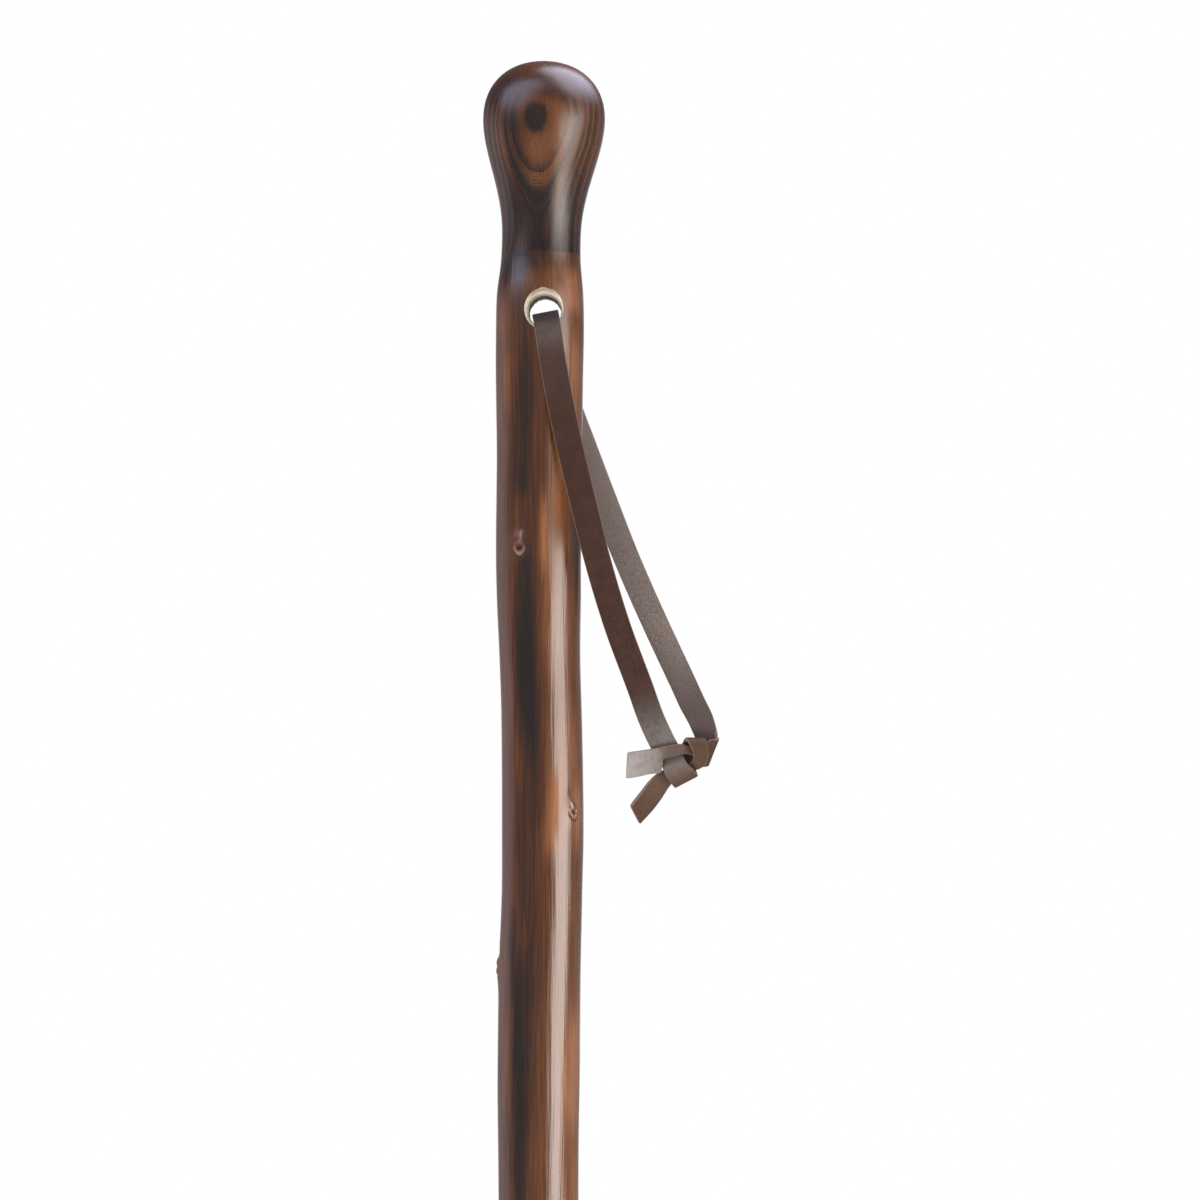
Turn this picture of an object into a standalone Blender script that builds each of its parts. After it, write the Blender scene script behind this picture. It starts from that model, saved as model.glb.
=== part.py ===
"""Walking cane: a flamed chestnut stick with a turned knob, a knotted leather wrist strap through the stick,
and a spiked steel tip under a slip-on rubber cap.

Metres, +Z up. The origin is the centre of the rubber cap's tread, the stick stands along +Z, the front of
the cane is -Y, and the strap hangs to the right, at +X.
"""

import math

import bmesh
import bpy
from mathutils import Matrix, Vector

MM = 0.001
GAP = 0.0003

# Heights along the cane
LENGTH = 0.930
JOINT_Z = 0.8741
BORE_Z = 0.8574
SHOULDER_Z = 0.072
SLEEVE_FLOOR_Z = 0.032

# The knob: a neck that swells into a bulge, under a crown that is a squared half ellipse
NECK_RADIUS = 0.01143
NECK_RISE = 0.0044
BULGE_RADIUS = 0.01766
BULGE_RISE = 0.0392
CROWN_SQUARENESS = 2.2
SWELL_DELAY = 1.15
KNOB_FOOT_RADIUS = 0.0115
KNOB_LEAN = math.radians(1.3)
KNOB_SIDES = 40

# The glued joint inside the knob: the stick's turned tenon in the knob's blind socket
SOCKET_RADIUS = 0.0070
SOCKET_DEPTH = 0.0315
TENON_LENGTH = 0.030
TENON_OVERLAP = 0.006

# The stick, a natural pole: height, radius, sideways and front-to-back drift of its middle, in millimetres
STICK_SIDES = 28
STICK_RING_STEP = 0.0125
STICK = (
    (873.7, 11.50, 0.00, 0.00),
    (868.0, 12.00, -0.14, 0.00),
    (862.0, 12.60, -0.27, 0.00),
    (851.0, 12.80, -0.30, 0.05),
    (832.0, 12.60, -0.45, 0.10),
    (815.0, 12.40, -0.50, 0.15),
    (789.0, 12.35, -0.75, 0.20),
    (774.0, 12.25, -0.60, 0.20),
    (757.0, 11.75, -0.30, 0.20),
    (736.0, 11.75, 0.25, 0.10),
    (709.0, 11.90, 0.50, 0.00),
    (690.0, 11.70, 0.30, -0.10),
    (668.0, 11.90, -0.30, -0.20),
    (635.0, 11.90, -0.70, -0.20),
    (600.0, 11.60, -0.70, -0.10),
    (560.0, 11.50, -0.40, 0.10),
    (515.0, 11.40, 0.10, 0.30),
    (470.0, 11.10, 0.60, 0.40),
    (420.0, 10.95, 0.50, 0.20),
    (370.0, 10.80, 0.00, -0.20),
    (320.0, 10.55, -0.50, -0.40),
    (270.0, 10.40, -0.60, -0.30),
    (220.0, 10.20, -0.20, 0.00),
    (170.0, 10.05, 0.30, 0.20),
    (120.0, 9.90, 0.20, 0.10),
    (92.0, 9.80, 0.00, 0.00),
    (72.3, 9.75, 0.00, 0.00),
)

# The bore that the strap goes through, along Y, with a flared rim at each side of the stick
BORE_X = 0.0012
BORE_RADIUS = 0.0048
BORE_FLARE_START = 0.0116
BORE_CUTTER_REACH = 0.0160

# The leather strap: a flat strip, how its legs leave the bore, and how far apart its rows are
STRAP_WIDTH = 0.0076
STRAP_THICKNESS = 0.0013
STRAP_FALL = math.radians(11)
STRAP_BEND = 0.0022
STRAP_BEND_STEPS = 5
STRAP_IN_BORE_DROP = 0.0017
STRAP_LEG_DEPTH = 0.0139
KNOT_STEP = 0.0013
KNOT_GAP = 0.0045
LEG_STEP = 0.0046
FOLD_STEPS = 6

# The strap's route from the end of its upper tail to the end of its lower tail. Each row of the knot
# gives both edges of the strip in millimetres: x, z and how far the edge lies in front of the cane's
# middle plane, first for the edge that is on top in the upper tail. A row narrower than the strip is
# where the knot squeezes it.
UPPER_TAIL = (
    (25.0, 730.0, 2.60, 24.6, 722.4, 2.50),
    (28.4, 730.5, 2.90, 28.2, 723.0, 2.70),
    (31.6, 731.0, 3.45, 31.8, 723.8, 2.95),
    (33.6, 731.4, 3.65, 33.5, 724.1, 3.15),
    (34.6, 731.6, 3.65, 34.4, 725.6, 3.20),
    (35.7, 731.8, 3.55, 35.2, 727.7, 3.20),
    (38.2, 732.3, 3.40, 38.2, 728.8, 3.15),
    (40.5, 732.5, 3.10, 40.9, 729.5, 3.10),
    (42.0, 732.0, 2.50, 42.5, 729.5, 2.35),
    (43.4, 731.7, 1.90, 43.9, 729.2, 1.75),
    (45.6, 731.8, 1.65, 45.5, 728.3, 1.65),
    (47.8, 732.8, 1.45, 46.4, 726.8, 1.45),
)
REAR_TURN = (
    (51.0, 735.6, -1.25, 46.6, 729.7, -1.95),
    (50.9, 736.7, -1.60, 45.6, 732.1, -2.05),
    (50.5, 738.4, -1.90, 44.5, 734.6, -2.10),
    (49.7, 740.9, -2.25, 43.0, 737.9, -2.25),
)
FRONT_WRAP = (
    (38.6, 734.4, 2.10, 31.6, 731.6, 1.80),
    (40.2, 731.4, 1.35, 33.3, 728.6, 1.35),
    (40.9, 729.7, 1.35, 34.2, 727.3, 1.30),
    (41.5, 728.4, 2.10, 34.9, 726.3, 1.80),
    (42.0, 727.4, 3.05, 35.3, 725.3, 2.75),
    (42.7, 726.4, 3.50, 35.8, 723.9, 3.40),
)
REAR_WRAP = (
    (45.6, 727.8, -0.35, 39.6, 725.4, -0.42),
    (46.2, 730.0, -0.35, 40.2, 729.0, -0.35),
)
LOWER_TAIL = (
    (48.4, 730.2, 3.45, 44.0, 730.3, 4.05),
    (48.3, 728.4, 3.45, 44.1, 729.1, 3.75),
    (47.5, 726.5, 3.40, 43.9, 728.0, 3.20),
    (46.1, 725.4, 2.80, 43.5, 727.0, 2.40),
    (44.6, 725.0, 1.85, 42.6, 726.3, 1.65),
    (42.5, 724.0, 1.50, 41.2, 725.9, 1.40),
    (40.5, 723.0, 1.40, 39.2, 725.5, 1.35),
    (38.7, 721.7, 1.30, 37.0, 724.9, 1.40),
    (37.1, 719.9, 1.00, 34.8, 723.6, 1.80),
    (34.8, 716.5, 0.45, 31.8, 721.4, 2.80),
    (32.2, 713.2, 0.10, 29.0, 718.6, 3.60),
    (30.0, 710.8, 0.00, 27.1, 716.2, 3.90),
    (28.5, 709.2, 0.00, 25.9, 714.5, 3.90),
)

# Each fold goes from one such row to another, and its crease points this way, in degrees from +X to +Z
RIGHT_FOLD = (
    (49.5, 733.7, 0.95, 46.7, 725.7, 0.95),
    (50.9, 734.8, -0.95, 47.4, 727.3, -1.15),
    -21.0,
)
BOTTOM_FOLD = (
    (43.9, 725.5, 3.60, 36.9, 722.2, 3.55),
    (44.8, 725.2, -0.30, 38.4, 721.6, -0.42),
    -63.0,
)
TOP_FOLD = (
    (46.6, 731.6, -0.30, 40.6, 731.5, -0.35),
    (48.0, 731.9, 3.40, 43.3, 731.6, 3.95),
    88.0,
)

# The legs between the knot and the bore keep their width: x, z and y of the middle, in millimetres
REAR_LEG = (
    (43.9, 744.2, 3.0),
    (41.9, 748.6, 3.6),
    (33.3, 767.1, 6.2),
    (27.6, 779.9, 7.9),
    (25.1, 785.8, 8.6),
    (19.1, 801.2, 10.3),
    (12.0, 820.0, 12.2),
    (7.8, 831.3, 13.4),
    (4.4, 842.5, 14.0),
)
FRONT_LEG = (
    (2.9, 846.9, -13.9),
    (4.6, 836.9, -13.8),
    (8.3, 818.7, -13.0),
    (12.7, 800.5, -11.7),
    (15.6, 788.5, -10.5),
    (18.0, 779.8, -9.5),
    (21.9, 767.2, -7.7),
    (28.7, 748.8, -4.8),
    (32.1, 739.4, -3.1),
)

# The steel sleeve round the foot of the stick, its two nails and the spike
SLEEVE_TOP_RADIUS = 0.0096
SLEEVE_FOOT_RADIUS = 0.0092
SLEEVE_WALL = 0.0008
SLEEVE_FLOOR = 0.0012
NAIL_Z = 0.062
NAIL_SHANK_RADIUS = 0.0008
NAIL_HEAD_RADIUS = 0.0018
NAIL_HEAD_HEIGHT = 0.0007
NAIL_TIP_X = 0.0030
SPIKE_SHANK_RADIUS = 0.0020
SPIKE_SHANK_TOP_Z = 0.0550
SPIKE_COLLAR_RADIUS = 0.0060
SPIKE_COLLAR_FOOT_Z = 0.0285
SPIKE_BODY_RADIUS = 0.0035
SPIKE_CONE_Z = 0.0210
SPIKE_POINT_Z = 0.0126
SPIKE_POINT_RADIUS = 0.0005

# The rubber cap and the washer that keeps the spike off its floor
CAP_FOOT_RADIUS = 0.0170
CAP_BODY_RADIUS = 0.0126
CAP_RIM_RADIUS = 0.0130
CAP_TOP_Z = 0.0500
CAP_FLOOR_Z = 0.0100
CAP_EDGE = 0.0010
TREAD_DISC_RADIUS = 0.0062
TREAD_GROOVE_WIDTH = 0.0020
TREAD_GROOVE_DEPTH = 0.0012
WASHER_RADIUS = 0.0086
WASHER_THICKNESS = 0.0015
WASHER_EDGE = 0.0002
TURNED_SIDES = 40
SMALL_SIDES = 20


def clear_scene():
    for obj in list(bpy.data.objects):
        bpy.data.objects.remove(obj, do_unlink=True)


def new_collection(name):
    collection = bpy.data.collections.new(name)
    bpy.context.scene.collection.children.link(collection)
    return collection


def material(name, colour, roughness, metallic=0.0):
    made = bpy.data.materials.new(name)
    made.use_nodes = True
    shader = made.node_tree.nodes["Principled BSDF"]
    shader.inputs["Base Color"].default_value = (*colour, 1.0)
    shader.inputs["Roughness"].default_value = roughness
    shader.inputs["Metallic"].default_value = metallic
    return made


def new_object(name, mesh, collection, made=None):
    obj = bpy.data.objects.new(name, mesh)
    collection.objects.link(obj)
    if made is not None:
        mesh.materials.append(made)
    return obj


def smooth_curve(points, step):
    """Points about `step` apart on a smooth curve through `points`, which are tuples of any one length."""
    rows = [Vector(p) for p in points]
    rows = [2 * rows[0] - rows[1], *rows, 2 * rows[-1] - rows[-2]]
    curve = []
    for a, b, c, d in zip(rows, rows[1:], rows[2:], rows[3:]):
        pieces = max(1, math.ceil((c - b).length / step))
        for i in range(pieces):
            t = i / pieces
            curve.append(
                0.5 * (2 * b + (c - a) * t + (2 * a - 5 * b + 4 * c - d) * t**2 + (3 * b - a - 3 * c + d) * t**3)
            )
    curve.append(rows[-2])
    return curve


def smooth_step(t):
    t = min(max(t, 0.0), 1.0)
    return t * t * (3 - 2 * t)


def turned(name, profile, collection, made=None, closed=False, sides=TURNED_SIDES):
    """A turned piece about Z from (radius, height) points, which run down its outer side."""
    mesh = bpy.data.meshes.new(name)
    edges = [(i, i + 1) for i in range(len(profile) - 1)]
    if closed:
        edges.append((len(profile) - 1, 0))
    mesh.from_pydata([(r, 0.0, z) for r, z in profile], edges, [])
    obj = new_object(name, mesh, collection, made)
    screw = obj.modifiers.new("turn", "SCREW")
    screw.steps = sides
    screw.render_steps = sides
    screw.use_merge_vertices = True
    screw.merge_threshold = 0.00001
    screw.use_smooth_shade = True
    return obj


def cylinder(name, radius, low_z, high_z, collection, sides=TURNED_SIDES, tip_radius=None):
    """A closed cylinder or cone about Z, as a helper for a Boolean."""
    mesh = bpy.data.meshes.new(name)
    form = bmesh.new()
    bmesh.ops.create_cone(
        form,
        cap_ends=True,
        segments=sides,
        radius1=radius,
        radius2=radius if tip_radius is None else tip_radius,
        depth=high_z - low_z,
        matrix=Matrix.Translation((0, 0, (low_z + high_z) / 2)),
    )
    form.to_mesh(mesh)
    form.free()
    return new_object(name, mesh, collection)


def helper(obj):
    """Keeps a cutter or a joined-in form out of the render."""
    obj.hide_render = True
    obj.display_type = "WIRE"
    return obj


def combine(obj, other, operation):
    change = obj.modifiers.new(f"{operation.lower()} {other.name}", "BOOLEAN")
    change.operation = operation
    change.solver = "EXACT"
    change.object = other


def lean_about_joint(obj):
    """Leans a form that is modelled about Z with the knob, round the middle of the joint."""
    obj.matrix_world = Matrix.Translation((0, 0, JOINT_Z)) @ Matrix.Rotation(KNOB_LEAN, 4, "Y")


def knob_radius(rise):
    """The knob's radius at a height above the joint, up to the bulge."""
    if rise < NECK_RISE:
        return KNOB_FOOT_RADIUS + (NECK_RADIUS - KNOB_FOOT_RADIUS) * smooth_step(rise / NECK_RISE)
    t = (rise - NECK_RISE) / (BULGE_RISE - NECK_RISE)
    return NECK_RADIUS + (BULGE_RADIUS - NECK_RADIUS) * smooth_step(t**SWELL_DELAY)


def knob_outline():
    """From the top of the crown, down the outside and up into the socket."""
    crown_height = LENGTH - JOINT_Z - BULGE_RISE
    crown = []
    for i in range(10):
        radius = BULGE_RADIUS * math.sin(i / 10 * math.pi / 2)
        share = (1 - (radius / BULGE_RADIUS) ** CROWN_SQUARENESS) ** (1 / CROWN_SQUARENESS)
        crown.append((radius, BULGE_RISE + crown_height * share))
    flank = []
    for i in range(15):
        rise = BULGE_RISE + (GAP / 2 - BULGE_RISE) * i / 14
        flank.append((knob_radius(rise), rise))
    socket = [(SOCKET_RADIUS, GAP / 2), (SOCKET_RADIUS, SOCKET_DEPTH), (0.0, SOCKET_DEPTH)]
    return crown + flank + socket


def build_knob(collection, made):
    knob = turned("knob", knob_outline(), collection, made, sides=KNOB_SIDES)
    lean_about_joint(knob)
    return knob


def pole(name, collection, made):
    """The natural pole, as a mesh: a bevelled curve with its own radius at each ring."""
    rings = smooth_curve([tuple(v * MM for v in row) for row in STICK], STICK_RING_STEP)
    curve = bpy.data.curves.new(name, "CURVE")
    curve.dimensions = "3D"
    curve.bevel_depth = 1.0
    curve.bevel_resolution = (STICK_SIDES - 4) // 2
    curve.use_fill_caps = True
    spline = curve.splines.new("POLY")
    spline.points.add(len(rings) - 1)
    for point, (z, radius, x, y) in zip(spline.points, rings):
        point.co = (x, y, z, 1.0)
        point.radius = radius
    guide = new_object(name + "_curve", curve, collection)
    bpy.context.view_layer.update()
    seen = guide.evaluated_get(bpy.context.evaluated_depsgraph_get())
    mesh = bpy.data.meshes.new_from_object(seen)
    form = bmesh.new()
    form.from_mesh(mesh)
    bmesh.ops.remove_doubles(form, verts=form.verts, dist=0.00001)
    bmesh.ops.recalc_face_normals(form, faces=form.faces)
    form.to_mesh(mesh)
    form.free()
    stick = new_object(name, mesh, collection, made)
    stick.matrix_world = guide.matrix_world
    bpy.data.objects.remove(guide, do_unlink=True)
    mesh.shade_smooth()
    return stick


def bore_cutter(cutters):
    """The strap's bore along Y, wider towards both sides of the stick."""
    flare = BORE_RADIUS + BORE_CUTTER_REACH - BORE_FLARE_START
    profile = [
        (0.0, BORE_CUTTER_REACH),
        (flare, BORE_CUTTER_REACH),
        (BORE_RADIUS, BORE_FLARE_START),
        (BORE_RADIUS, -BORE_FLARE_START),
        (flare, -BORE_CUTTER_REACH),
        (0.0, -BORE_CUTTER_REACH),
    ]
    cutter = turned("bore_cutter", profile, cutters)
    cutter.location = (BORE_X, 0, BORE_Z)
    cutter.rotation_euler = (math.radians(90), 0, 0)
    return helper(cutter)


def nail_cutters(cutters):
    """Blind holes for the two nails, through the sleeve into the wood."""
    made = []
    for name, side in (("nail_hole_left", -1), ("nail_hole_right", 1)):
        cutter = cylinder(name, NAIL_SHANK_RADIUS + GAP, NAIL_TIP_X - 0.001, 0.012, cutters, SMALL_SIDES)
        cutter.location = (0, 0, NAIL_Z)
        cutter.rotation_euler = (0, math.radians(90) * side, 0)
        made.append(helper(cutter))
    return made


def sleeve_radius(z):
    """The sleeve tapers from its top to its floor."""
    t = (z - SLEEVE_FLOOR_Z) / (SHOULDER_Z - SLEEVE_FLOOR_Z)
    return SLEEVE_FOOT_RADIUS + (SLEEVE_TOP_RADIUS - SLEEVE_FOOT_RADIUS) * t


def build_stick(collection, cutters, made, bore, nail_holes):
    stick = pole("stick", collection, made)
    tenon = cylinder("tenon_form", SOCKET_RADIUS - GAP, -TENON_OVERLAP, TENON_LENGTH, cutters)
    lean_about_joint(tenon)
    spigot_foot_z = SLEEVE_FLOOR_Z + SLEEVE_FLOOR + GAP
    inset = SLEEVE_WALL + GAP
    spigot = cylinder(
        "spigot_form",
        sleeve_radius(spigot_foot_z) - inset,
        spigot_foot_z,
        SHOULDER_Z + TENON_OVERLAP,
        cutters,
        tip_radius=SLEEVE_TOP_RADIUS - inset,
    )
    pilot = cylinder(
        "spike_pilot",
        SPIKE_SHANK_RADIUS + GAP,
        spigot_foot_z - 0.002,
        SPIKE_SHANK_TOP_Z + 0.001,
        cutters,
        SMALL_SIDES,
    )
    combine(stick, helper(tenon), "UNION")
    combine(stick, helper(spigot), "UNION")
    combine(stick, bore, "DIFFERENCE")
    combine(stick, helper(pilot), "DIFFERENCE")
    for hole in nail_holes:
        combine(stick, hole, "DIFFERENCE")
    return stick


def knot_rows(rows):
    """Both edges of the strip at each row of the knot, as points in metres."""
    made = []
    for row in rows:
        first = Vector((row[0], -row[2], row[1])) * MM
        second = Vector((row[3], -row[5], row[4])) * MM
        made.append((first, second))
    return made


def leg_rows(rows, facing):
    """Both edges at each row of a leg, square to its run.

    facing is 1 where the smooth side of the leather shows at the front and -1 where it shows at the back.
    """
    middles = [Vector((x, y, z)) * MM for x, z, y in rows]
    made = []
    for i, middle in enumerate(middles):
        along = middles[min(i + 1, len(middles) - 1)] - middles[max(i - 1, 0)]
        half = Vector((-along.z, 0, along.x)).normalized() * facing * STRAP_WIDTH / 2
        made.append((middle + half, middle - half))
    return made


def fold_rows(before, after, crease_deg):
    """Rows of the strip round a fold, half a turn from the row `before` to the row `after`."""
    outward = Vector((math.cos(math.radians(crease_deg)), 0, math.sin(math.radians(crease_deg))))
    first, last = knot_rows((before, after))
    made = []
    for i in range(FOLD_STEPS + 1):
        turn = math.pi * i / FOLD_STEPS
        edges = []
        for start, end in zip(first, last):
            depth = end.y - start.y
            place = start.lerp(end, i / FOLD_STEPS)
            place.y = start.y + depth * (1 - math.cos(turn)) / 2
            edges.append(place + outward * abs(depth) / 2 * math.sin(turn))
        made.append(tuple(edges))
    return made


def bore_rows():
    """Rows from the rear leg over the bore's rear rim, through the bore and down over the front rim."""
    down = Vector((math.sin(STRAP_FALL), 0, -math.cos(STRAP_FALL)))
    half = Vector((math.cos(STRAP_FALL), 0, math.sin(STRAP_FALL))) * STRAP_WIDTH / 2
    bore = Vector((BORE_X, 0, BORE_Z))
    made = []
    for side in (1, -1):
        bend = []
        for i in range(STRAP_BEND_STEPS + 1):
            turn = i / STRAP_BEND_STEPS * math.pi / 2
            y = side * (STRAP_LEG_DEPTH - STRAP_BEND * (1 - math.cos(turn)))
            drop = STRAP_IN_BORE_DROP + STRAP_BEND * (1 - math.sin(turn))
            middle = bore + down * drop + Vector((0, y, 0))
            bend.append((middle + half, middle - half))
        made += bend if side > 0 else bend[::-1]
    return made


def spacing(one, other):
    """The mean distance between the same edges of two rows."""
    return ((one[0] - other[0]).length + (one[1] - other[1]).length) / 2


def slope(before, here, after):
    """How both edges run at a row, per metre, from its neighbours however unevenly those are spaced."""
    first = spacing(before, here)
    second = spacing(here, after)
    slopes = []
    for a, b, c in zip(before, here, after):
        slopes.append(((b - a) * second / first + (c - b) * first / second) / (first + second))
    return slopes


def end_slope(here, after):
    return [(b - a) / spacing(here, after) for a, b in zip(here, after)]


def smoothed(rows):
    """The rows with more between them, on a smooth curve through all of them."""
    last = len(rows) - 1
    slopes = [end_slope(rows[0], rows[1])]
    slopes += [slope(*rows[i - 1 : i + 2]) for i in range(1, last)]
    slopes.append(end_slope(rows[last - 1], rows[last]))
    made = []
    for i in range(last):
        gap = spacing(rows[i], rows[i + 1])
        pieces = math.ceil(gap / (KNOT_STEP if gap < KNOT_GAP else LEG_STEP))
        for j in range(pieces):
            t = j / pieces
            edges = []
            for start, end, leaves, meets in zip(rows[i], rows[i + 1], slopes[i], slopes[i + 1]):
                straight = start * (2 * t**3 - 3 * t**2 + 1) + end * (3 * t**2 - 2 * t**3)
                edges.append(straight + (leaves * (t**3 - 2 * t**2 + t) + meets * (t**3 - t**2)) * gap)
            made.append(tuple(edges))
    made.append(rows[last])
    return made


def strap_route():
    rows = knot_rows(UPPER_TAIL) + fold_rows(*RIGHT_FOLD) + knot_rows(REAR_TURN)
    rows += leg_rows(REAR_LEG, -1) + bore_rows() + leg_rows(FRONT_LEG, 1)
    rows += knot_rows(FRONT_WRAP) + fold_rows(*BOTTOM_FOLD) + knot_rows(REAR_WRAP)
    rows += fold_rows(*TOP_FOLD) + knot_rows(LOWER_TAIL)
    return smoothed(rows)


def build_strap(collection, made):
    """One flat strip of leather along the whole route, knotted to itself."""
    rows = strap_route()
    mesh = bpy.data.meshes.new("wrist_strap")
    form = bmesh.new()
    bmesh.ops.create_grid(form, x_segments=2, y_segments=len(rows) - 1, size=1.0)
    form.verts.ensure_lookup_table()
    pivot = Vector((BORE_X, 0, BORE_Z))
    for vert in form.verts:
        first, second = rows[round((vert.co.y + 1) / 2 * (len(rows) - 1))]
        vert.co = second.lerp(first, (vert.co.x + 1) / 2) - pivot
    form.to_mesh(mesh)
    form.free()
    strap = new_object("wrist_strap", mesh, collection, made)
    strap.location = pivot
    thick = strap.modifiers.new("leather", "SOLIDIFY")
    thick.thickness = STRAP_THICKNESS
    thick.offset = 0.0
    return strap


def build_sleeve(collection, made, nail_holes):
    """The steel cup round the foot of the stick, with a hole in its floor for the spike."""
    inner_floor_z = SLEEVE_FLOOR_Z + SLEEVE_FLOOR
    hole = SPIKE_SHANK_RADIUS + GAP
    edge = 0.0006
    profile = [
        (SLEEVE_TOP_RADIUS, SHOULDER_Z),
        (SLEEVE_FOOT_RADIUS, SLEEVE_FLOOR_Z + edge),
        (SLEEVE_FOOT_RADIUS - edge, SLEEVE_FLOOR_Z),
        (hole, SLEEVE_FLOOR_Z),
        (hole, inner_floor_z),
        (sleeve_radius(inner_floor_z) - SLEEVE_WALL, inner_floor_z),
        (SLEEVE_TOP_RADIUS - SLEEVE_WALL, SHOULDER_Z),
    ]
    sleeve = turned("tip_sleeve", profile, collection, made, closed=True)
    for cutter in nail_holes:
        combine(sleeve, cutter, "DIFFERENCE")
    return sleeve


def build_spike(collection, made):
    collar_top_z = SLEEVE_FLOOR_Z - GAP
    edge = 0.0005
    profile = [
        (0.0, SPIKE_SHANK_TOP_Z),
        (SPIKE_SHANK_RADIUS - edge, SPIKE_SHANK_TOP_Z),
        (SPIKE_SHANK_RADIUS, SPIKE_SHANK_TOP_Z - edge),
        (SPIKE_SHANK_RADIUS, collar_top_z),
        (SPIKE_COLLAR_RADIUS - edge, collar_top_z),
        (SPIKE_COLLAR_RADIUS, collar_top_z - edge),
        (SPIKE_COLLAR_RADIUS, SPIKE_COLLAR_FOOT_Z + edge),
        (SPIKE_COLLAR_RADIUS - edge, SPIKE_COLLAR_FOOT_Z),
        (SPIKE_BODY_RADIUS, SPIKE_COLLAR_FOOT_Z),
        (SPIKE_BODY_RADIUS, SPIKE_CONE_Z),
        (SPIKE_POINT_RADIUS, SPIKE_POINT_Z),
        (0.0, SPIKE_POINT_Z),
    ]
    return turned("tip_spike", profile, collection, made, sides=24)


def build_nail(name, side, collection, made):
    """A round-headed nail along X; its profile is turned about Z and the piece is then laid over."""
    seat = sleeve_radius(NAIL_Z) + GAP
    profile = [
        (0.0, seat + NAIL_HEAD_HEIGHT),
        (NAIL_HEAD_RADIUS * 0.6, seat + NAIL_HEAD_HEIGHT * 0.85),
        (NAIL_HEAD_RADIUS, seat + NAIL_HEAD_HEIGHT * 0.3),
        (NAIL_HEAD_RADIUS, seat),
        (NAIL_SHANK_RADIUS, seat),
        (NAIL_SHANK_RADIUS, NAIL_TIP_X + NAIL_SHANK_RADIUS),
        (0.0, NAIL_TIP_X),
    ]
    nail = turned(name, profile, collection, made, sides=SMALL_SIDES)
    nail.location = (0, 0, NAIL_Z)
    nail.rotation_euler = (0, math.radians(90) * side, 0)
    return nail


def cap_outline():
    """From the middle of the cavity's floor, up its wall, over the rim, down the outside, in along the tread."""
    cavity_foot = sleeve_radius(SLEEVE_FLOOR_Z) + GAP
    cavity_top = sleeve_radius(CAP_TOP_Z) + GAP
    outline = [(0.0, CAP_FLOOR_Z), (cavity_foot, CAP_FLOOR_Z), (cavity_foot, SLEEVE_FLOOR_Z)]
    outline += [(cavity_top, CAP_TOP_Z - CAP_EDGE / 2), (cavity_top + CAP_EDGE / 2, CAP_TOP_Z)]
    outline += [(CAP_RIM_RADIUS - CAP_EDGE, CAP_TOP_Z), (CAP_RIM_RADIUS, CAP_TOP_Z - CAP_EDGE)]
    outline += [(CAP_RIM_RADIUS, CAP_TOP_Z - 0.003), (CAP_BODY_RADIUS - 0.0004, CAP_TOP_Z - 0.0045)]
    flare_top_z = 0.018
    flare_foot_z = 0.004
    for i in range(7):
        t = i / 6
        z = flare_top_z + (flare_foot_z - flare_top_z) * t
        radius = CAP_BODY_RADIUS + (CAP_FOOT_RADIUS - CAP_BODY_RADIUS) * t**2
        outline.append((radius, z))
    outline += [(CAP_FOOT_RADIUS, CAP_EDGE), (CAP_FOOT_RADIUS - CAP_EDGE, 0.0)]
    groove_in = TREAD_DISC_RADIUS + 2 * TREAD_GROOVE_WIDTH
    for inner in (groove_in, TREAD_DISC_RADIUS):
        outer = inner + TREAD_GROOVE_WIDTH
        outline += [(outer, 0.0), (outer, TREAD_GROOVE_DEPTH), (inner, TREAD_GROOVE_DEPTH), (inner, 0.0)]
    outline.append((0.0, 0.0))
    return outline


def build_cap(collection, made):
    return turned("rubber_cap", cap_outline(), collection, made)


def build_washer(collection, made, cap):
    low = CAP_FLOOR_Z + GAP
    high = low + WASHER_THICKNESS
    profile = [
        (0.0, high),
        (WASHER_RADIUS - WASHER_EDGE, high),
        (WASHER_RADIUS, high - WASHER_EDGE),
        (WASHER_RADIUS, low + WASHER_EDGE),
        (WASHER_RADIUS - WASHER_EDGE, low),
        (0.0, low),
    ]
    washer = turned("cap_washer", profile, collection, made)
    washer.parent = cap
    return washer


def build():
    clear_scene()
    cane = new_collection("walking_cane")
    cutters = new_collection("cutters")
    knob_wood = material("flamed_knob_wood", (0.075, 0.035, 0.022), 0.22)
    stick_wood = material("flamed_stick_wood", (0.16, 0.075, 0.032), 0.25)
    leather = material("brown_leather", (0.085, 0.045, 0.033), 0.55)
    steel = material("plated_steel", (0.55, 0.55, 0.56), 0.32, 1.0)
    rubber = material("black_rubber", (0.018, 0.018, 0.019), 0.75)
    bore = bore_cutter(cutters)
    nail_holes = nail_cutters(cutters)
    build_knob(cane, knob_wood)
    build_stick(cane, cutters, stick_wood, bore, nail_holes)
    build_strap(cane, leather)
    build_sleeve(cane, steel, nail_holes)
    build_spike(cane, steel)
    build_nail("sleeve_nail_left", -1, cane, steel)
    build_nail("sleeve_nail_right", 1, cane, steel)
    cap = build_cap(cane, rubber)
    build_washer(cane, steel, cap)


build()
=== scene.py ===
import math
import random
from bisect import bisect_left

import bmesh
import bpy
from mathutils import Matrix, Vector, noise


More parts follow.
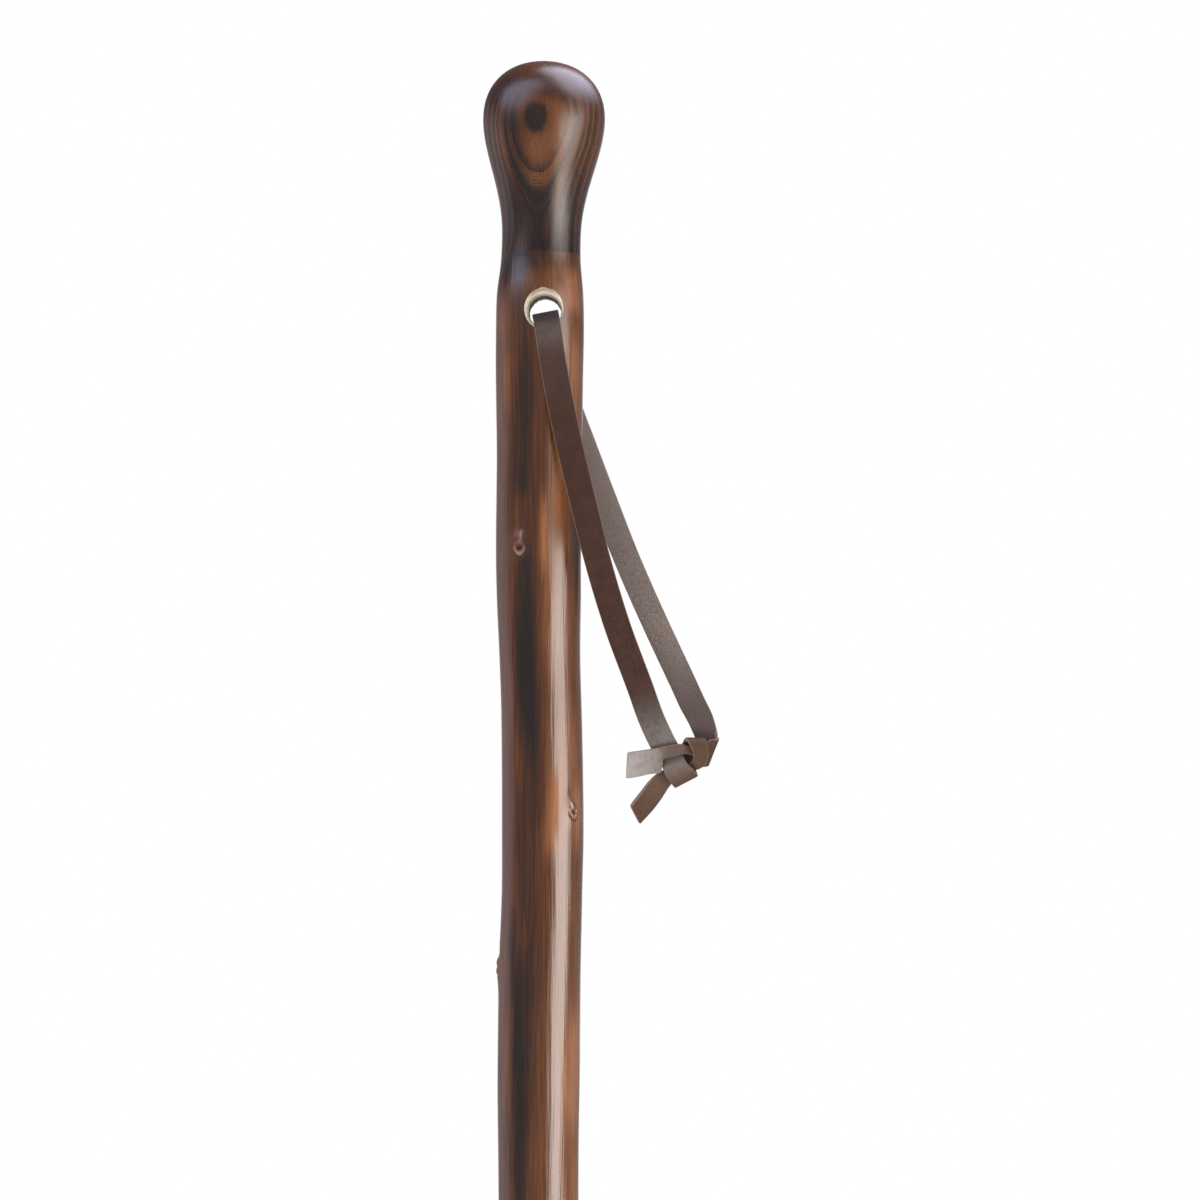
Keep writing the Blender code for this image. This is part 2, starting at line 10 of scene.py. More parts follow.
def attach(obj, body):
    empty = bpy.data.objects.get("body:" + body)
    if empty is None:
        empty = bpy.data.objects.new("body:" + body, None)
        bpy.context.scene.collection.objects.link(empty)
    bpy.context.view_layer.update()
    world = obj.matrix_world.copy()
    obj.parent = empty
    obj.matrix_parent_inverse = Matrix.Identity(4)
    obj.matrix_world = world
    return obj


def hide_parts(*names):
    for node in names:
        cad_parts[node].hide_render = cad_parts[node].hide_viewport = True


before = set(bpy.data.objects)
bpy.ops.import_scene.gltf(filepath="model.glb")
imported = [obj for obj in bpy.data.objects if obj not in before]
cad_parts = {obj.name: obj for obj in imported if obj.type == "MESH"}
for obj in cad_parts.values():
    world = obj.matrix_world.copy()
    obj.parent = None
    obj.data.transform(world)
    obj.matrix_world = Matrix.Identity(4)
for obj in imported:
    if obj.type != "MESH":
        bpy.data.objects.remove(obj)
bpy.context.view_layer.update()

MM = 0.001


# Small helpers


def smooth_step(t):
    t = min(max(t, 0.0), 1.0)
    return t * t * (3 - 2 * t)


def bell(*offs):
    """1 in the middle, where all of these are 0, falling off smoothly round it."""
    return math.exp(-sum(off**2 for off in offs))


def angle_gap(a, b):
    """The signed angle from b to a, in degrees, the short way round."""
    return (a - b + 180) % 360 - 180


def smooth_curve(points, step):
    """Points about `step` apart on a smooth curve through `points`, which are tuples of any one length."""
    rows = [Vector(p) for p in points]
    rows = [2 * rows[0] - rows[1], *rows, 2 * rows[-1] - rows[-2]]
    curve = []
    for a, b, c, d in zip(rows, rows[1:], rows[2:], rows[3:]):
        pieces = max(1, math.ceil((c - b).length / step))
        for i in range(pieces):
            t = i / pieces
            curve.append(
                0.5 * (2 * b + (c - a) * t + (2 * a - 5 * b + 4 * c - d) * t**2 + (3 * b - a - 3 * c + d) * t**3)
            )
    curve.append(rows[-2])
    return curve


def new_object(name, data):
    made = bpy.data.objects.new(name, data)
    bpy.context.scene.collection.objects.link(made)
    return made


def new_mesh(name, points, faces):
    mesh = bpy.data.meshes.new(name)
    mesh.from_pydata(points, [], faces)
    return mesh


def open_form(mesh):
    """The mesh as an editable form, with all faces turned outwards."""
    form = bmesh.new()
    form.from_mesh(mesh)
    bmesh.ops.recalc_face_normals(form, faces=form.faces)
    return form


def close_form(form, mesh):
    form.to_mesh(mesh)
    form.free()


def new_piece(name, mesh, body, replaced, attributes, crease):
    """A piece on a body that stands for a CAD node. It is smooth where it turns by less than the crease, in degrees."""
    for key, values in attributes.items():
        mesh.attributes.new(key, "FLOAT", "POINT").data.foreach_set("value", values)
    mesh.shade_smooth()
    piece = new_object(name, mesh)
    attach(piece, body)
    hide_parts(replaced)
    sharpen(mesh, crease)
    return piece


def tube_faces(rings, around):
    """Faces of a tube of rings of points, with flat caps at its ends."""
    faces = []
    for i in range(rings - 1):
        for j in range(around):
            k = (j + 1) % around
            faces.append((i * around + j, i * around + k, (i + 1) * around + k, (i + 1) * around + j))
    faces.append(tuple(reversed(range(around))))
    faces.append(tuple(range((rings - 1) * around, rings * around)))
    return faces


def sharpen(mesh, degrees):
    """Marks the edges that turn by more than this as sharp."""
    form = bmesh.new()
    form.from_mesh(mesh)
    for edge in form.edges:
        edge.smooth = edge.calc_face_angle(0.0) < math.radians(degrees)
    close_form(form, mesh)


# The camera, which stands level in front of the cane and a little to the right of it

CAMERA_LENS = 91.55
CAMERA_SENSOR = 36.0
CAMERA_PLACE = (0.01711, -0.885, 0.77407)

camera = new_object("camera", bpy.data.cameras.new("camera"))
camera.data.lens = CAMERA_LENS
camera.data.sensor_width = CAMERA_SENSOR
camera.location = CAMERA_PLACE
camera.rotation_euler = (math.radians(90), 0, 0)
bpy.context.scene.camera = camera


# The strap: nearly the CAD strip's route, more finely divided, with rounded edges and fuller tails at the knot.
# A row of the knot is x, z and how far forward in mm of each of the strip's edges, and a row of a leg is x, z and y of
# its middle. A fold is the rows before and after it and the angle that its crease faces.

BORE = Vector((0.0012, 0, 0.8574))
STRAP_WIDTH = 0.0076
STRAP_THICKNESS = 0.0013
STRAP_FALL = math.radians(11)
STRAP_BEND = 0.0022
STRAP_BEND_STEPS = 5
STRAP_IN_BORE_DROP = 0.0017
STRAP_LEG_DEPTH = 0.0139
KNOT_STEP = 0.00045
KNOT_GAP = 0.0045
LEG_STEP = 0.0018
FOLD_STEPS = 6
STRAP_CREASE = 75

UPPER_TAIL = (
    (25, 730, 2.6, 24.6, 722.4, 2.5), (28.4, 730.5, 2.9, 28.2, 723, 2.7), (31.6, 731, 3.45, 31.8, 723.8, 2.95),
    (33.2, 731.3, 3.63, 33.6, 724, 3.15), (33.9, 731.45, 3.65, 34.6, 724.15, 3.2),
    (34.5, 731.6, 3.65, 34.85, 725.5, 3.22), (35.3, 731.75, 3.58, 35.1, 727.5, 3.22),
    (38.2, 732.3, 3.4, 38.2, 728.8, 3.15), (40.5, 732.5, 3.1, 40.9, 729.5, 3.1), (42, 732, 2.5, 42.5, 729.5, 2.35),
    (43.4, 731.7, 1.9, 43.9, 729.2, 1.75), (45.6, 731.8, 1.65, 45.5, 728.3, 1.65),
    (47.8, 732.8, 1.45, 46.4, 726.8, 1.45),
)
REAR_TURN = (
    (51, 735.6, -1.25, 46.6, 729.7, -1.95), (50.9, 736.7, -1.6, 45.6, 732.1, -2.05),
    (50.5, 738.4, -1.9, 44.5, 734.6, -2.1), (49.7, 740.9, -2.25, 43, 737.9, -2.25),
)
FRONT_WRAP = (
    (38.6, 734.4, 2.1, 31.6, 731.6, 1.8), (40.2, 731.4, 1.35, 33.3, 728.6, 1.35),
    (40.9, 729.7, 1.35, 34.2, 727.3, 1.3), (41.5, 728.4, 2.1, 34.9, 726.3, 1.8),
    (42, 727.4, 3.05, 35.3, 725.3, 2.75), (42.7, 726.4, 3.5, 35.8, 723.9, 3.4),
)
REAR_WRAP = ((45.6, 727.8, -0.35, 39.6, 725.4, -0.42), (46.2, 730, -0.35, 40.2, 729, -0.35))
LOWER_TAIL = (
    (48.4, 730.2, 3.45, 44, 730.3, 4.05), (48.3, 728.4, 3.45, 44.1, 729.1, 3.75),
    (47.5, 726.5, 3.4, 43.9, 728, 3.2), (46.1, 725.4, 2.8, 43.5, 727, 2.4), (44.6, 725, 1.85, 42.6, 726.3, 1.65),
    (42.5, 724, 1.5, 41.2, 725.9, 1.4), (40.5, 723, 1.4, 39.2, 725.5, 1.35), (38.7, 721.7, 1.3, 36.7, 725.3, 1.38),
    (37.1, 719.9, 1, 34.3, 724.2, 1.72), (34.8, 716.5, 0.45, 31.5, 721.8, 2.8), (32.2, 713.2, 0.1, 29, 718.6, 3.6),
    (30, 710.8, 0, 27.1, 716.2, 3.9), (28.5, 709.2, 0, 25.9, 714.5, 3.9),
)
RIGHT_FOLD = ((49.5, 733.7, 0.95, 46.7, 725.7, 0.95), (50.9, 734.8, -0.95, 47.4, 727.3, -1.15), -21.0)
BOTTOM_FOLD = ((43.9, 725.5, 3.6, 36.9, 722.2, 3.55), (44.8, 725.2, -0.3, 38.4, 721.6, -0.42), -63.0)
TOP_FOLD = ((46.6, 731.6, -0.3, 40.6, 731.5, -0.35), (48, 731.9, 3.4, 43.3, 731.6, 3.95), 88.0)
REAR_LEG = (
    (43.9, 744.2, 3), (41.9, 748.6, 3.6), (33.3, 767.1, 6.2), (27.6, 779.9, 7.9), (25.1, 785.8, 8.6),
    (19.1, 801.2, 10.3), (12, 820, 12.2), (7.8, 831.3, 13.4), (4.4, 842.5, 14),
)
FRONT_LEG = (
    (2.9, 846.9, -13.9), (4.6, 836.9, -13.8), (8.3, 818.7, -13), (12.7, 800.5, -11.7), (15.6, 788.5, -10.5),
    (18, 779.8, -9.5), (21.9, 767.2, -7.7), (28.7, 748.8, -4.8), (32.1, 739.4, -3.1),
)


def edge_point(x, z, forward):
    return Vector((x, -forward, z)) * MM


def knot_rows(rows):
    """Both edges of the strip at each row of the knot, as points in metres."""
    return [(edge_point(*row[:3]), edge_point(*row[3:])) for row in rows]


def leg_rows(rows, facing):
    """Both edges at each row of a leg, square to its run."""
    middles = [Vector((x, y, z)) * MM for x, z, y in rows]
    made = []
    for i, middle in enumerate(middles):
        along = middles[min(i + 1, len(middles) - 1)] - middles[max(i - 1, 0)]
        half = Vector((-along.z, 0, along.x)).normalized() * facing * STRAP_WIDTH / 2
        made.append((middle + half, middle - half))
    return made


def fold_rows(before, after, crease_deg):
    """Rows of the strip round a fold, half a turn from the row `before` to the row `after`."""
    outward = Vector((math.cos(math.radians(crease_deg)), 0, math.sin(math.radians(crease_deg))))
    first, last = knot_rows((before, after))
    made = []
    for i in range(FOLD_STEPS + 1):
        turn = math.pi * i / FOLD_STEPS
        edges = []
        for start, end in zip(first, last):
            depth = end.y - start.y
            place = start.lerp(end, i / FOLD_STEPS)
            place.y = start.y + depth * (1 - math.cos(turn)) / 2
            edges.append(place + outward * abs(depth) / 2 * math.sin(turn))
        made.append(tuple(edges))
    return made


def bore_rows():
    """Rows from the rear leg over the bore's rear rim, through the bore and down over the front rim."""
    down = Vector((math.sin(STRAP_FALL), 0, -math.cos(STRAP_FALL)))
    half = Vector((math.cos(STRAP_FALL), 0, math.sin(STRAP_FALL))) * STRAP_WIDTH / 2
    made = []
    for side in (1, -1):
        bend = []
        for i in range(STRAP_BEND_STEPS + 1):
            turn = i / STRAP_BEND_STEPS * math.pi / 2
            y = side * (STRAP_LEG_DEPTH - STRAP_BEND * (1 - math.cos(turn)))
            drop = STRAP_IN_BORE_DROP + STRAP_BEND * (1 - math.sin(turn))
            middle = BORE + down * drop + Vector((0, y, 0))
            bend.append((middle + half, middle - half))
        made += bend if side > 0 else bend[::-1]
    return made


def spacing(one, other):
    """The mean distance between the same edges of two rows."""
    return ((one[0] - other[0]).length + (one[1] - other[1]).length) / 2


def slope(before, here, after):
    """How both edges run at a row, per metre, however unevenly its neighbours are spaced."""
    first = spacing(before, here)
    second = spacing(here, after)
    slopes = []
    for a, b, c in zip(before, here, after):
        slopes.append(((b - a) * second / first + (c - b) * first / second) / (first + second))
    return slopes


def end_slope(here, after):
    return [(b - a) / spacing(here, after) for a, b in zip(here, after)]


def smoothed(rows):
    """The rows with more between them, on a smooth curve through all of them."""
    last = len(rows) - 1
    slopes = [slope(*rows[i - 1 : i + 2]) for i in range(1, last)]
    slopes = [end_slope(rows[0], rows[1]), *slopes, end_slope(rows[-2], rows[-1])]
    made = []
    for i in range(last):
        gap = spacing(rows[i], rows[i + 1])
        pieces = math.ceil(gap / (KNOT_STEP if gap < KNOT_GAP else LEG_STEP))
        for j in range(pieces):
            t = j / pieces
            edges = []
            for start, end, leaves, meets in zip(rows[i], rows[i + 1], slopes[i], slopes[i + 1]):
                straight = start * (2 * t**3 - 3 * t**2 + 1) + end * (3 * t**2 - 2 * t**3)
                edges.append(straight + (leaves * (t**3 - 2 * t**2 + t) + meets * (t**3 - t**2)) * gap)
            made.append(tuple(edges))
    made.append(rows[last])
    return made


def strap_route():
    rows = knot_rows(UPPER_TAIL) + fold_rows(*RIGHT_FOLD) + knot_rows(REAR_TURN)
    rows += leg_rows(REAR_LEG, -1) + bore_rows() + leg_rows(FRONT_LEG, 1)
    rows += knot_rows(FRONT_WRAP) + fold_rows(*BOTTOM_FOLD) + knot_rows(REAR_WRAP)
    rows += fold_rows(*TOP_FOLD) + knot_rows(LOWER_TAIL)
    return smoothed(rows)


def halves(route):
    """The rear half and the front half of the route, each from the middle of the bore."""
    top = max(range(1, len(route)), key=lambda i: (route[i - 1][0].y > 0 >= route[i][0].y) and route[i][0].z)
    before, after = route[top - 1], route[top]
    t = before[0].y / (before[0].y - after[0].y)
    middle = tuple(a.lerp(b, t) for a, b in zip(before, after))
    return [middle, *reversed(route[:top])], [middle, *route[top:]]


EDGE_ROUND = 0.0003
EDGE_TURNS = (30, 60, 90)
FACE_POINTS = 10

# A tail's end: its rounding and the rows in it, how far its corners draw in, how much it thins, and where the cut is
END_ROUND = 0.0005
END_ROWS = (0.0005, 0.00032, 0.00018, 0.00008, 0.00002)
END_CLEAR = 0.00055
END_CORNER = 0.00042
END_THINNING = 0.42
END_CUT = 0.0001


def strap_section():
    """Points round the strip: share of the width from its second edge to its first, how far they move towards the
    first, height, which face they are on, and how far round the edge they are."""
    half = STRAP_THICKNESS / 2
    points = []
    for side in (1, -1):
        for i in range(FACE_POINTS + 1):
            t = i / FACE_POINTS if side > 0 else 1 - i / FACE_POINTS
            inset = EDGE_ROUND if t == 0 else (-EDGE_ROUND if t == 1 else 0.0)
            points.append((t, inset, side * half, side, 0.0))
        t = 1.0 if side > 0 else 0.0
        for face, turns in ((side, EDGE_TURNS), (-side, EDGE_TURNS[::-1])):
            for turn in turns:
                inset = EDGE_ROUND * (1 - math.sin(math.radians(turn)))
                height = half - EDGE_ROUND * (1 - math.cos(math.radians(turn)))
                points.append((t, -side * inset, face * height, face, turn / 90))
    return points


def painted_sheen_at(marks, along):
    """How strong the painted sheen on the leather is at a distance in metres from the bore."""
    return min(sum(amount * bell((along / MM - middle) / half) for middle, half, amount in marks), 1.0)


def strap_half(name, rows, facing, painted_sheen):
    """A half of the strap from the bore to its tail's end. facing is 1 where its rows run as the route does."""
    rows = end_rows(rows)
    section = strap_section()
    along = [0.0]
    for before, here in zip(rows, rows[1:]):
        along.append(along[-1] + spacing(before, here))
    total = along[-1]
    points, keys, path = [], {"side": [], "edge": [], "along": [], "painted_sheen": []}, []
    for i, (first, second) in enumerate(rows):
        before, after = rows[max(i - 1, 0)], rows[min(i + 1, len(rows) - 1)]
        left = total - along[i]
        end = max(0.0, 1 - left / END_ROUND)
        shrink = END_CORNER * (1 - math.sqrt(max(0.0, 1 - end * end)))
        thin = 1 - END_THINNING * end**3
        width = (first - second).normalized()
        # The painted sheen at this row, kept on each of its points
        pale = painted_sheen_at(painted_sheen, along[i])
        runs = [((b - a) * facing).normalized() for a, b in zip(before, after)]
        normals = [run.cross(width).normalized() for run in runs]
        for share, inset, height, side, edge in section:
            normal = normals[1].lerp(normals[0], share).normalized()
            place = second.lerp(first, share) + width * (inset + shrink * (1 - 2 * share)) + normal * height * thin
            points.append(place)
            keys["side"].append(float(side))
            keys["edge"].append(max(edge, end**2 if edge == 0 and left < END_CUT else 0.0))
            keys["along"].append(along[i])
            keys["painted_sheen"].append(pale)
        path.append((first + second) / 2)
    faces = tube_faces(len(rows), len(section))
    if facing < 0:
        faces = [tuple(reversed(f)) for f in faces]
    mesh = new_mesh(name, points, faces)
    piece = new_piece(name, mesh, "strap", "wrist_strap", keys, STRAP_CREASE)
    return piece


def end_rows(rows):
    """The rows with a few more near the tail's end, where its corners are rounded."""
    last, before = rows[-1], rows[-2]
    gap = spacing(last, before)
    kept = [r for r in rows[:-1] if spacing(r, last) > END_CLEAR]
    extra = [tuple(a.lerp(b, s / gap) for a, b in zip(last, before)) for s in END_ROWS if s < gap]
    return [*kept, *extra, last]


# Where painted sheen lightens the grain side: distance from the bore and half the length in mm, and how much
REAR_PAINTED_SHEEN = ((178, 7, 0.74), (170, 4, 0.24), (162, 7, 0.1))
FRONT_PAINTED_SHEEN = ((18.5, 4, 0.11), (28, 9, 0.02), (137, 8, 0.17), (143, 6, 0.18), (150, 3.5, 0.2), (188, 14, 0.06))

rear_rows, front_rows = halves(strap_route())
rear_strap = strap_half("strap_rear", rear_rows, -1, REAR_PAINTED_SHEEN)
front_strap = strap_half("strap_front", front_rows, 1, FRONT_PAINTED_SHEEN)


# The knob, turned about its own leaning axis

JOINT_Z = 0.8741
LENGTH = 0.93
NECK_RADIUS = 0.01141
NECK_RISE = 0.0044
BULGE_RADIUS = 0.01766
BULGE_RISE = 0.0392
CROWN_SQUARENESS = 2.2
CROWN_ROWS = 40
CROWN_OPENING = 0.3
SIDE_ROWS = 80
SWELL_DELAY = 1.15
KNOB_FOOT_RADIUS = 0.0115
KNOB_LEAN = math.radians(1.3)
KNOB_SIDES = 144
KNOB_CREASE = 50
SOCKET_RADIUS = 0.007
SOCKET_DEPTH = 0.0315
SOCKET_POINT = 0.0004


def knob_radius(rise):
    """The knob's radius at a height above the joint, up to the bulge."""
    if rise < NECK_RISE:
        return NECK_RADIUS + (KNOB_FOOT_RADIUS - NECK_RADIUS) * (1 - rise / NECK_RISE) ** 2
    t = (rise - NECK_RISE) / (BULGE_RISE - NECK_RISE)
    return NECK_RADIUS + (BULGE_RADIUS - NECK_RADIUS) * smooth_step(t**SWELL_DELAY)


def knob_outline():
    """From the top of the crown, down the outside and up into the socket."""
    crown_height = LENGTH - JOINT_Z - BULGE_RISE
    outline = []
    for i in range(CROWN_ROWS):
        radius = BULGE_RADIUS * math.sin((i + CROWN_OPENING) / (CROWN_ROWS + CROWN_OPENING) * math.pi / 2)
        share = (1 - (radius / BULGE_RADIUS) ** CROWN_SQUARENESS) ** (1 / CROWN_SQUARENESS)
        outline.append((radius, BULGE_RISE + crown_height * share))
    for i in range(SIDE_ROWS):
        rise = BULGE_RISE * (1 - i / SIDE_ROWS)
        outline.append((knob_radius(rise), rise))
    outline += [(KNOB_FOOT_RADIUS, 0.0), (SOCKET_RADIUS, 0.0)]
    outline += [(SOCKET_RADIUS, SOCKET_DEPTH), (SOCKET_POINT, SOCKET_DEPTH)]
    return outline


# The knob was turned from wood whose growth layers stand upright, a little askew and leaning, so that its front
# shows a bullseye. A layer is named by its depth in mm behind the knob's most forward point. At the sides the layers
# twist about a level, and below another they sink back.
LAYER_TURN = math.radians(-5.8)
LAYER_LEAN = math.radians(-3.7)
LAYER_MIDDLE = 912.0
LAYER_FRONT = 17.62
LAYER_TWIST_FROM = 4
LAYER_TWIST_LEFT, LEFT_LEVEL = 0.0095, 895
LAYER_TWIST_RIGHT, RIGHT_LEVEL = 0.0045, 903
LAYER_SINK, SINK_LEVEL = 0.03, 889

# Towards the crown the layers show less: from this height in mm, over this much, by this share
FADE_LEVEL, FADE_REACH, FADE_SHARE = 914.5, 5.0, 0.78


def layer_depth(x, y, z):
    """Which growth layer a place in the knob, in mm, belongs to."""
    forward = (x * math.sin(LAYER_TURN) - y * math.cos(LAYER_TURN)) * math.cos(LAYER_LEAN)
    forward += (z - LAYER_MIDDLE) * math.sin(LAYER_LEAN)
    forward -= LAYER_TWIST_LEFT * max(0.0, -x - LAYER_TWIST_FROM) * (z - LEFT_LEVEL)
    forward += LAYER_TWIST_RIGHT * max(0.0, x - LAYER_TWIST_FROM) * (z - RIGHT_LEVEL)
    forward -= LAYER_SINK * max(0.0, SINK_LEVEL - z)
    return LAYER_FRONT - forward


# Where the knob's stain is lighter or darker: as STAINS below
KNOB_STAINS = (
    (879, 12, -12, 44, -0.44), (884, 12, 34, 26, -0.16), (886, 16, -56, 18, -0.2), (905, 8, 36, 10, -0.2),
    (880, 14, 75, 40, -0.16), (905, 13, -30, 14, -0.18), (917, 8, -38, 22, -0.14), (921, 5, 6, 34, -0.1),
    (903, 10, -21, 10, -0.12), (890, 10, -34, 14, -0.1), (912, 18, -72, 24, -0.14), (927, 3, 10, 90, 0.1),
    (890, 20, 150, 30, -0.22), (908, 18, 195, 26, -0.18), (896, 26, 118, 16, 0.08),
)

# How many halves and widths a mark reaches, and how it fades along the cane
MARK_REACH = 2.2
MARK_FALL = 0.6


def marks_at(marks, z, angle):
    """What the marks add up to at a height in mm and an angle from the front."""
    total = 0.0
    for mark_z, half, mark_angle, width, change in marks:
        up = (z - mark_z) / half
        if abs(up) < MARK_REACH:
            side = angle_gap(angle, mark_angle) / width
            if abs(side) < MARK_REACH:
                total += change * math.exp(-(up**4) * MARK_FALL - side * side)
    return total


def build_knob():
    lean = Matrix.Translation((0, 0, JOINT_Z)) @ Matrix.Rotation(KNOB_LEAN, 4, "Y")
    outline = knob_outline()
    points, keys = [], {"layer": [], "tone": [], "clear": []}
    for radius, rise in outline:
        for j in range(KNOB_SIDES):
            turn = 2 * math.pi * j / KNOB_SIDES
            place = lean @ Vector((radius * math.cos(turn), radius * math.sin(turn), rise))
            points.append(place)
            x, y, z = place / MM
            keys["layer"].append(layer_depth(x, y, z))
            keys["tone"].append(marks_at(KNOB_STAINS, z, math.degrees(math.atan2(x, -y))))
            keys["clear"].append(1 - FADE_SHARE * smooth_step((z - FADE_LEVEL) / FADE_REACH))
    faces = [tuple(reversed(f)) for f in tube_faces(len(outline), KNOB_SIDES)]
    mesh = new_mesh("turned_knob", points, faces)
    return new_piece("turned_knob", mesh, "cane", "knob", keys, KNOB_CREASE)


knob = build_knob()


# The stick: the pole's own rows, finely divided, with its buds' scars and the bore. A row is its height, its radius
# and its middle's x and y in mm, and a row of the spigot at its foot is height and radius.

STICK = (
    (874, 11.5, 0, 0), (872.2, 11.585, -0.04, 0), (870.2, 11.76, -0.09, 0), (868, 12, -0.14, 0),
    (862, 12.6, -0.27, 0), (851, 12.8, -0.3, 0.05), (832, 12.6, -0.45, 0.1), (815, 12.4, -0.5, 0.15),
    (789, 12.35, -0.75, 0.2), (774, 12.25, -0.6, 0.2), (757, 11.75, -0.3, 0.2), (736, 11.75, 0.25, 0.1),
    (709, 11.9, 0.5, 0), (690, 11.7, 0.3, -0.1), (668, 11.9, -0.3, -0.2), (635, 11.9, -0.7, -0.2),
    (600, 11.6, -0.7, -0.1), (560, 11.5, -0.4, 0.1), (515, 11.4, 0.1, 0.3), (470, 11.1, 0.6, 0.4),
    (420, 10.95, 0.5, 0.2), (370, 10.8, 0, -0.2), (320, 10.55, -0.5, -0.4), (270, 10.4, -0.6, -0.3),
    (220, 10.2, -0.2, 0), (170, 10.05, 0.3, 0.2), (120, 9.9, 0.2, 0.1), (92, 9.8, 0, 0), (72.3, 9.75, 0, 0),
)
SPIGOT = ((72.0, 8.45), (34.2, 8.1), (33.6, 7.6))
STICK_SIDES = 120
STICK_STEP = 1.6
STICK_CREASE = 38

# Each bud scar: height, angle from the front towards the right, the radius of its lip, how far the wood round it
# stands out, and how its tail leans to the right as it rises, in mm and degrees
SCARS = (
    (789, -25, 1.48, 0.26, 0.14), (713, 49, 1.24, 0.34, -0.3), (667.4, -88, 1.05, 0.62, 0.1),
    (742, 172, 1.15, 0.3, 0.2), (838, 205, 0.9, 0.25, -0.15), (655, 118, 1.1, 0.4, -0.25), (566, 20, 1.2, 0.3, 0.2),
    (498, -70, 1.1, 0.45, -0.1), (431, 140, 1.3, 0.35, 0.25), (352, 35, 1, 0.3, -0.2), (286, -120, 1.2, 0.45, 0.1),
    (204, 75, 1, 0.4, -0.15), (131, -30, 1, 0.25, 0.2),
)


def scar_shape(side, up, size, slant):
    """At a place beside and above a scar's middle, in mm: how far out it is in radii of the lip, an oval pointed
    below, and the shares of the lip, of the groove round it and of the tail."""
    out = math.hypot(side * (1 + 0.2 * max(0.0, -up / size)), up * 0.88) / size
    lip = 0.22 + 0.78 * smooth_step(0.55 - up / (1.4 * size))
    groove = bell((out - 1.62) / 0.3)
    tail = bell((side - slant * up) / (0.4 * size), (up / size - 1.9) / 0.95)
    return out, lip, groove, tail


SCAR_REACH_UP = 14
SCAR_REACH_SIDE = 10


def scars_near(z, angle, radius):
    """The scars near a place, each with how far beside and above its middle the place is, in mm."""
    for scar_z, scar_angle, size, swell, slant in SCARS:
        up = z - scar_z
        if abs(up) < SCAR_REACH_UP:
            side = math.radians(angle_gap(angle, scar_angle)) * radius
            if abs(side) < SCAR_REACH_SIDE:
                yield side, up, size, swell, slant


def scar_relief(z, angle, radius):
    """How far the bud scars stand out of the pole at a place, in mm."""
    height = 0.0
    for side, up, size, swell, slant in scars_near(z, angle, radius):
        out, lip, groove, tail = scar_shape(side, up, size, slant)
        height += swell * bell(side / 3.2, up / 4.6)  # the wood round it
        height += 0.24 * lip * bell((out - 1.0) / 0.3)
        height -= 0.5 * bell(out / 0.62)  # its heart
        height -= 0.12 * lip * groove
        height += 0.22 * tail
        height -= 0.26 * bell(side / (1.9 * size), (up / size - 3.9) / 1.9) * (1 - tail)  # a hollow above it
    return height


def pole_at(rows, z):
    """The pole's row at a height, between two of its own."""
    low = bisect_left(rows, -z, 1, len(rows) - 1, key=lambda row: -row[0])
    a, b = rows[low - 1], rows[low]
    t = 0.0 if a[0] == b[0] else min(max((a[0] - z) / (a[0] - b[0]), 0.0), 1.0)
    return a.lerp(b, t)


# The pole's slow unevenness: its height, how often it turns round the pole and its length along it, and where it
# fades out, at the pole's ends and round the bore, all in mm
RIPPLE, RIPPLE_ROUND, RIPPLE_LENGTH = 0.11, 1.1, 26
RIPPLE_TOP, RIPPLE_FOOT, RIPPLE_FADE = 868, 80, 20
BORE_LEVEL, BORE_CLEAR, BORE_FADE = 857.4, 6, 10


def ripple(z, angle):
    turn = math.radians(angle)
    place = Vector((math.cos(turn) * RIPPLE_ROUND, math.sin(turn) * RIPPLE_ROUND, z / RIPPLE_LENGTH))
    fade = smooth_step((RIPPLE_TOP - z) / RIPPLE_FADE) * smooth_step((z - RIPPLE_FOOT) / RIPPLE_FADE)
    near_bore = smooth_step((abs(z - BORE_LEVEL) - BORE_CLEAR) / BORE_FADE)
    return RIPPLE * noise.noise(place) * fade * near_bore


# Where the pole swells: as STAINS below, with the change in its radius in mm
SWELLS = ((680, 27, 50, 19, 0.28),)


def on_pole(rows, z, angle):
    """The place on the pole's skin at a height and an angle from the front."""
    _, radius, x, y = pole_at(rows, z)
    out = radius + ripple(z, angle) + scar_relief(z, angle, radius) + marks_at(SWELLS, z, angle)
    turn = math.radians(angle)
    return Vector((x + out * math.sin(turn), y - out * math.cos(turn), z)) * MM


def seen_on_pole(rows, place):
    """A place's height, the pole's radius there and the place's angle from the front."""
    z = place.z / MM
    _, radius, x, y = pole_at(rows, z)
    return z, radius, math.degrees(math.atan2(place.x / MM - x, -(place.y / MM - y)))


def refine(form, chosen, cuts):
    """Divides the edges round the faces that `chosen` picks by their middle."""
    edges = set()
    for face in form.faces:
        if chosen(face.calc_center_median()):
            edges.update(face.edges)
    bmesh.ops.subdivide_edges(form, edges=list(edges), cuts=cuts, use_grid_fill=True)


def near_scar(rows, place, reach_side, reach_up):
    """Whether a place is within so many radii of a scar's lip beside it and above or below it."""
    for scar_z, scar_angle, size, _, _ in SCARS:
        if abs(place.z / MM - scar_z - size) < reach_up * size:
            _, radius, angle = seen_on_pole(rows, place)
            if abs(math.radians(angle_gap(angle, scar_angle)) * radius) < reach_side * size:
                return True
    return False


# Where the pole is more finely divided: near the scars, nearer to them, and round the bore. Between these heights
# the finer points are put back on its skin.
SCAR_FINE = (4.0, 5.0)
SCAR_FINER = (2.0, 2.8)
BORE_FINE = 0.0092
SKIN_TOP, SKIN_FOOT = 0.8736, 0.0725


